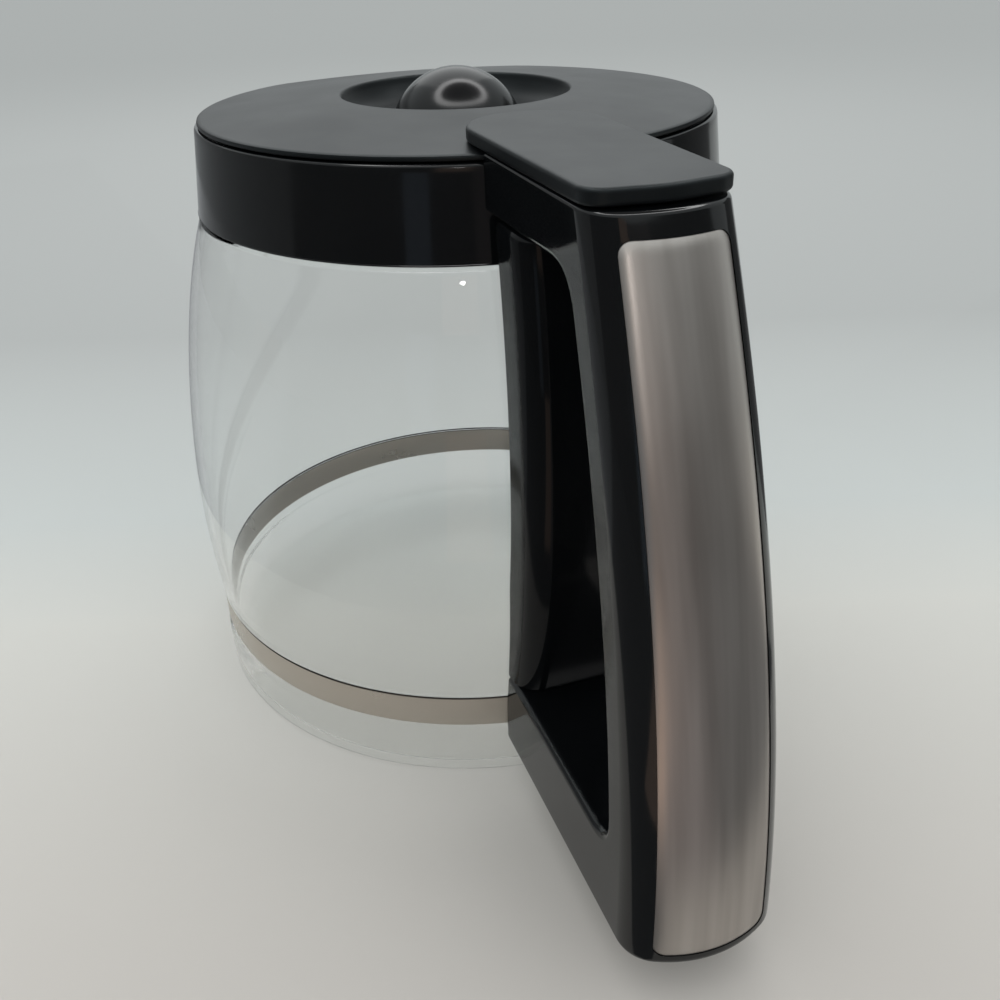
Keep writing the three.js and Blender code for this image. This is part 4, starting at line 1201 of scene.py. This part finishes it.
def lid_skirt():
    """The plug wall under the lid, open towards the spout."""
    end = pi - asin(SKIRT_MOUTH_HALF_WIDTH / SKIRT_RADIUS)
    inner = SKIRT_RADIUS - SKIRT_WALL
    top = LID_LIP_BOTTOM + SKIRT_ROOT
    section = rounded([
        (inner, LID_LOW.z, SKIRT_EDGE), (SKIRT_RADIUS, LID_LOW.z, SKIRT_EDGE),
        (SKIRT_RADIUS, top, 0), (inner, top, 0)], 3)
    rows = []
    for k in range(SKIRT_STEPS + 1):
        angle = between(-end, end, k / SKIRT_STEPS)
        rows.append([(r * cos(angle), r * sin(angle), z) for r, z in section])
    return stacked("skirt", rows)


def lid_top():
    sheet = lid_sheet()
    bosses = []
    for k in range(3):
        angle = pi + 2 * pi * k / 3
        x, y = CUP_SCREW_CIRCLE * cos(angle), CUP_SCREW_CIRCLE * sin(angle)
        top = lid_top_at(CUP_SCREW_CIRCLE) - LID_SHEET / 2
        bosses.append(post(f"boss_{k}", x, y, CUP_FLANGE_TOP + FIT_GAP, top, LID_BOSS_RADIUS))
    combine(sheet, [lid_skirt(), *bosses], "UNION")
    return dress(sheet, "lid_top", "lid", LID_BLACK)


def drip_dome():
    base = DOME_LOW.z
    low = asin((base - DOME_CENTRE) / DOME_RADIUS)
    inner_radius = DOME_RADIUS - DOME_WALL
    inner_low = asin((base - DOME_CENTRE) / inner_radius)
    outer = arc(0, DOME_CENTRE, DOME_RADIUS, low, pi / 2, 32)[:-1] + [(0, DOME_HIGH.z)]
    inside = arc(0, DOME_CENTRE, inner_radius, pi / 2, inner_low, 24)
    stem = [(0, base), (DOME_STEM, base), (DOME_STEM, inside[0][1] - 0.5)]
    hollow = [p for p in inside if p[0] > DOME_STEM + FINE_EDGE]
    skin = turned("drip_valve", stem + hollow + outer, even_angles(96))
    return dress(skin, "drip_dome", "lid", DOME_BLACK)


def plate_outline():
    inner = PLATE_INNER_HALF_WIDTH
    middle = PLATE_INNER_X + inner
    half = PLATE_HALF_WIDTH
    corner_x = PLATE_OUTER_X - PLATE_END_BOW
    end = []
    for k in range(13):
        y = between(-half + PLATE_CORNER, half - PLATE_CORNER, k / 12)
        bow = PLATE_END_BOW * (1 - (y / (half - PLATE_CORNER)) ** 2)
        end.append((corner_x + bow, y))
    low_corner = rounded([(middle, -inner, 0), (corner_x, -half, PLATE_CORNER), (*end[1], 0)], 10)[1:-1]
    high_corner = [(x, -y) for x, y in low_corner[::-1]]
    nose = quarter(middle, 0, inner, 1, 3, 40)[1:-1]
    return [(middle, -inner), *low_corner, *end[2:-2], *high_corner, (middle, inner), *nose]


def thumb_plate():
    top = slab(
        "thumb_rest", plate_outline(),
        edge_profile(PLATE_BOTTOM, PLATE_TOP, PLATE_ROUND, PLATE_ROUND, FINE_STEPS))
    rim = LID_RADIUS + SLIDE_GAP
    under = LID_RIM_TOP - 3
    crown = LID_RIM_TOP + LID_CROWN + FIT_GAP
    cone = turned("cone", [
        (0, under), (rim, under), (rim, lid_top_at(rim) + FIT_GAP), (RECESS_RADIUS, crown), (0, crown)])
    combine(top, [cone], "DIFFERENCE")
    half = TONGUE_HALF_WIDTH
    tongue = block(
        "tongue", (TONGUE_START, -half, ARM_TOP - TONGUE_DEPTH),
        (TONGUE_END, half, PLATE_BOTTOM + 1), 0.5)
    half -= TONGUE_WALL
    room = block(
        "tongue_room", (TONGUE_START + TONGUE_WALL, -half, ARM_TOP - TONGUE_ROOM_DEPTH),
        (TONGUE_END - TONGUE_WALL, half, PLATE_BOTTOM), 0.4)
    combine(tongue, [room], "DIFFERENCE")
    combine(top, [tongue], "UNION")
    return dress(top, "thumb_plate", "lid", LID_BLACK, flat_first=True)


# Inner pieces and fasteners, which keep the shapes of their solids


def carried(node, body, finish, edge):
    """A copy of a node's own solid with its edges softened."""
    copy = add_object(node + "_skin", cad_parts[node].data.copy())
    work = bmesh.new()
    work.from_mesh(copy.data)
    bmesh.ops.remove_doubles(work, verts=work.verts, dist=1e-6)
    bmesh.ops.dissolve_limit(work, angle_limit=radians(1), verts=work.verts, edges=work.edges)
    work.to_mesh(copy.data)
    work.free()
    soft = copy.modifiers.new("soft_edge", "BEVEL")
    soft.width = edge * MM
    soft.segments = 2
    soft.limit_method = "ANGLE"
    soft.angle_limit = radians(40)
    return dress(copy, node, body, finish, flat_first=True)


def inner_pieces():
    carried("rim_gasket", "carafe", GASKET, 0.2)
    carried("lower_cover", "carafe", HANDLE_BLACK, 0.3)
    carried("drip_cup", "lid", LID_BLACK, 0.3)
    fasteners = {
        "carafe": (
            "band_screw", "band_nut", "guard_screw", "cover_screw", "arm_screw_left", "arm_screw_right"),
        "lid": (
            "dome_screw", "cup_screw_1", "cup_screw_2", "cup_screw_3", "plate_screw_left",
            "plate_screw_right"),
    }
    for body, nodes in fasteners.items():
        for node in nodes:
            carried(node, body, SCREW_STEEL, 0.1)


# Studio


def floor():
    half = FLOOR_HALF
    spots = [(-half, -half), (half, -half), (half, half), (-half, half)]
    sheet = mesh_object("floor", [(x, y, -FLOOR_SINK) for x, y in spots], [(0, 1, 2, 3)])
    sheet.data.materials.append(pale_floor())


def glow(name, strength):
    made = bpy.data.materials.new(name)
    made.use_nodes = True
    made.node_tree.nodes.clear()
    light = new_node(made.node_tree, "Emission", {"Strength": strength})
    new_node(made.node_tree, "OutputMaterial", {"Surface": light.outputs["Emission"]})
    return made


def mirrored_only(obj):
    """Keeps a lamp or a card out of the picture, so that only its reflections show."""
    obj.visible_camera = False
    obj.visible_diffuse = False
    obj.visible_transmission = False
    obj.visible_shadow = False


def flat_lamp(name, rings, strength):
    """A flat lamp between an inner and an outer ring of points."""
    lamp = woven(name, rings, False, True)
    lamp.data.materials.append(glow(name + "_glow", strength))
    mirrored_only(lamp)


def ring_lamp():
    """The oval lamp in the roof of the light tent, with a dim middle."""
    x, y, z = RING_LAMP_PLACE
    deep, wide = RING_LAMP_STRETCH

    def oval(radius):
        return [(x + deep * radius * cos(a), y + wide * radius * sin(a), z) for a in even_angles(64)]

    inner, outer = RING_LAMP_RADII
    flat_lamp("ring_lamp", [oval(inner), oval(outer)], 7)
    flat_lamp("ring_middle", [oval(LAMP_PINHOLE), oval(inner)], 0.3)


def glint_lamp():
    """A small bare lamp above the camera, for the sparks on the glass and the handle."""
    x, y, z = GLINT_LAMP_PLACE
    rings = []
    for r in (LAMP_PINHOLE, GLINT_LAMP_RADIUS):
        rings.append([(x, y + r * cos(a), z + r * sin(a)) for a in even_angles(24)])
    flat_lamp("glint_lamp", rings, 60)


def card(name, turn, near, colour, far=CARD_FAR, height=CARD_HEIGHT):
    """A table round the front between two directions, and an upright card at its far edge."""
    angles = [radians(between(*turn, k / CARD_STEPS)) for k in range(CARD_STEPS + 1)]
    rows = []
    for radius, z in ((near, TABLE_HEIGHT), (far, TABLE_HEIGHT), (far, height)):
        rows.append([(radius * cos(a), radius * sin(a), z) for a in angles])
    sheet = woven(name, rows, False, False)
    made, _, shader = principled(name, colour, 1.0)
    shader.inputs["Specular IOR Level"].default_value = 0
    sheet.data.materials.append(made)
    mirrored_only(sheet)


def front_cards():
    """The dim open front of the light tent, with something warm where the camera stands, as sheets seen
    only in reflections: the dim ones are painted shade, the lighter and coloured ones painted reflections.
    """
    low = (LOW_CARD_FAR, LOW_CARD_HEIGHT)
    card("side_card", (-172, -87), LEFT_TABLE_EDGE, (0.35, 0.36, 0.37))
    card("left_card", (-87, -26), LEFT_TABLE_EDGE, CARD_DIM)
    card("foot_card", (-26, -6), LEFT_TABLE_EDGE, CARD_DIM, WARM_TABLE_EDGE, 2 * TABLE_HEIGHT)
    card("warm_card", (-26, -12), WARM_TABLE_EDGE, (0.76, 0.56, 0.46))
    card("low_card", (-26, -12), LOW_CARD_EDGE, CARD_DIM, *low)
    card("cool_card", (-39, -29), LOW_CARD_EDGE, (0.36, 0.42, 0.5), *low)
    card("mauve_card", (-12, 6), RIGHT_TABLE_EDGE, (0.28, 0.255, 0.255))
    card("right_card", (6, 52), RIGHT_TABLE_EDGE, CARD_DIM)
    card("back_card", (80, 116), RIGHT_TABLE_EDGE, CARD_DIM)


def back_box():
    """A large weak lamp behind the carafe, out of the picture."""
    lamp = bpy.data.lights.new("back_box", "AREA")
    lamp.size = BACK_BOX_SIZE * MM
    lamp.energy = 2.0
    obj = add_object("back_box", lamp)
    obj.location = Vector(BACK_BOX_PLACE) * MM
    aim = Vector(BACK_BOX_TARGET) - Vector(BACK_BOX_PLACE)
    obj.rotation_euler = aim.to_track_quat("-Z", "Y").to_euler()
    obj.visible_camera = False


def sky():
    """Even light, and a plain pale background wherever it is seen or mirrored."""
    world = bpy.data.worlds.new("studio")
    world.use_nodes = True
    tree = world.node_tree
    tree.nodes.clear()
    path = tree.nodes.new("ShaderNodeLightPath")
    light = new_node(tree, "Background", {"Color": (0.98, 1.0, 1.0, 1), "Strength": 0.95})
    height = axis_of(place(tree, kind="Generated"), "Z")
    strength = spread(height, 0.6, 0.9, 0.1, 0.9)
    shown = new_node(tree, "Background", {"Color": (0.94, 1.0, 1.01, 1), "Strength": strength})
    seen = path.outputs["Is Camera Ray"]
    for name in ("Is Glossy Ray", "Is Transmission Ray"):
        either = new_node(tree, "Math", {0: seen, 1: path.outputs[name]})
        either.operation = "MAXIMUM"
        seen = either.outputs[0]
    mix = new_node(tree, "MixShader", {0: seen, 1: light.outputs[0], 2: shown.outputs[0]})
    new_node(tree, "OutputWorld", {"Surface": mix.outputs[0]})
    bpy.context.scene.world = world


def camera():
    lens = bpy.data.cameras.new("camera")
    lens.lens = CAMERA_LENS
    lens.sensor_width = 36
    lens.clip_start = 0.01
    lens.clip_end = 50
    obj = add_object("camera", lens)
    turn = Matrix((CAMERA_RIGHT, CAMERA_UP, CAMERA_BACK)).transposed()
    obj.matrix_world = Matrix.Translation(Vector(CAMERA_PLACE) * MM) @ turn.to_4x4()
    bpy.context.scene.camera = obj


camera()
glass_vessel()
collar()
band()
handle_frame()
grip_inlay()
grip_liner()
knuckle_guard()
lid_top()
drip_dome()
thumb_plate()
inner_pieces()
floor()
ring_lamp()
glint_lamp()
front_cards()
back_box()
sky()
bpy.context.scene.view_settings.view_transform = "Standard"
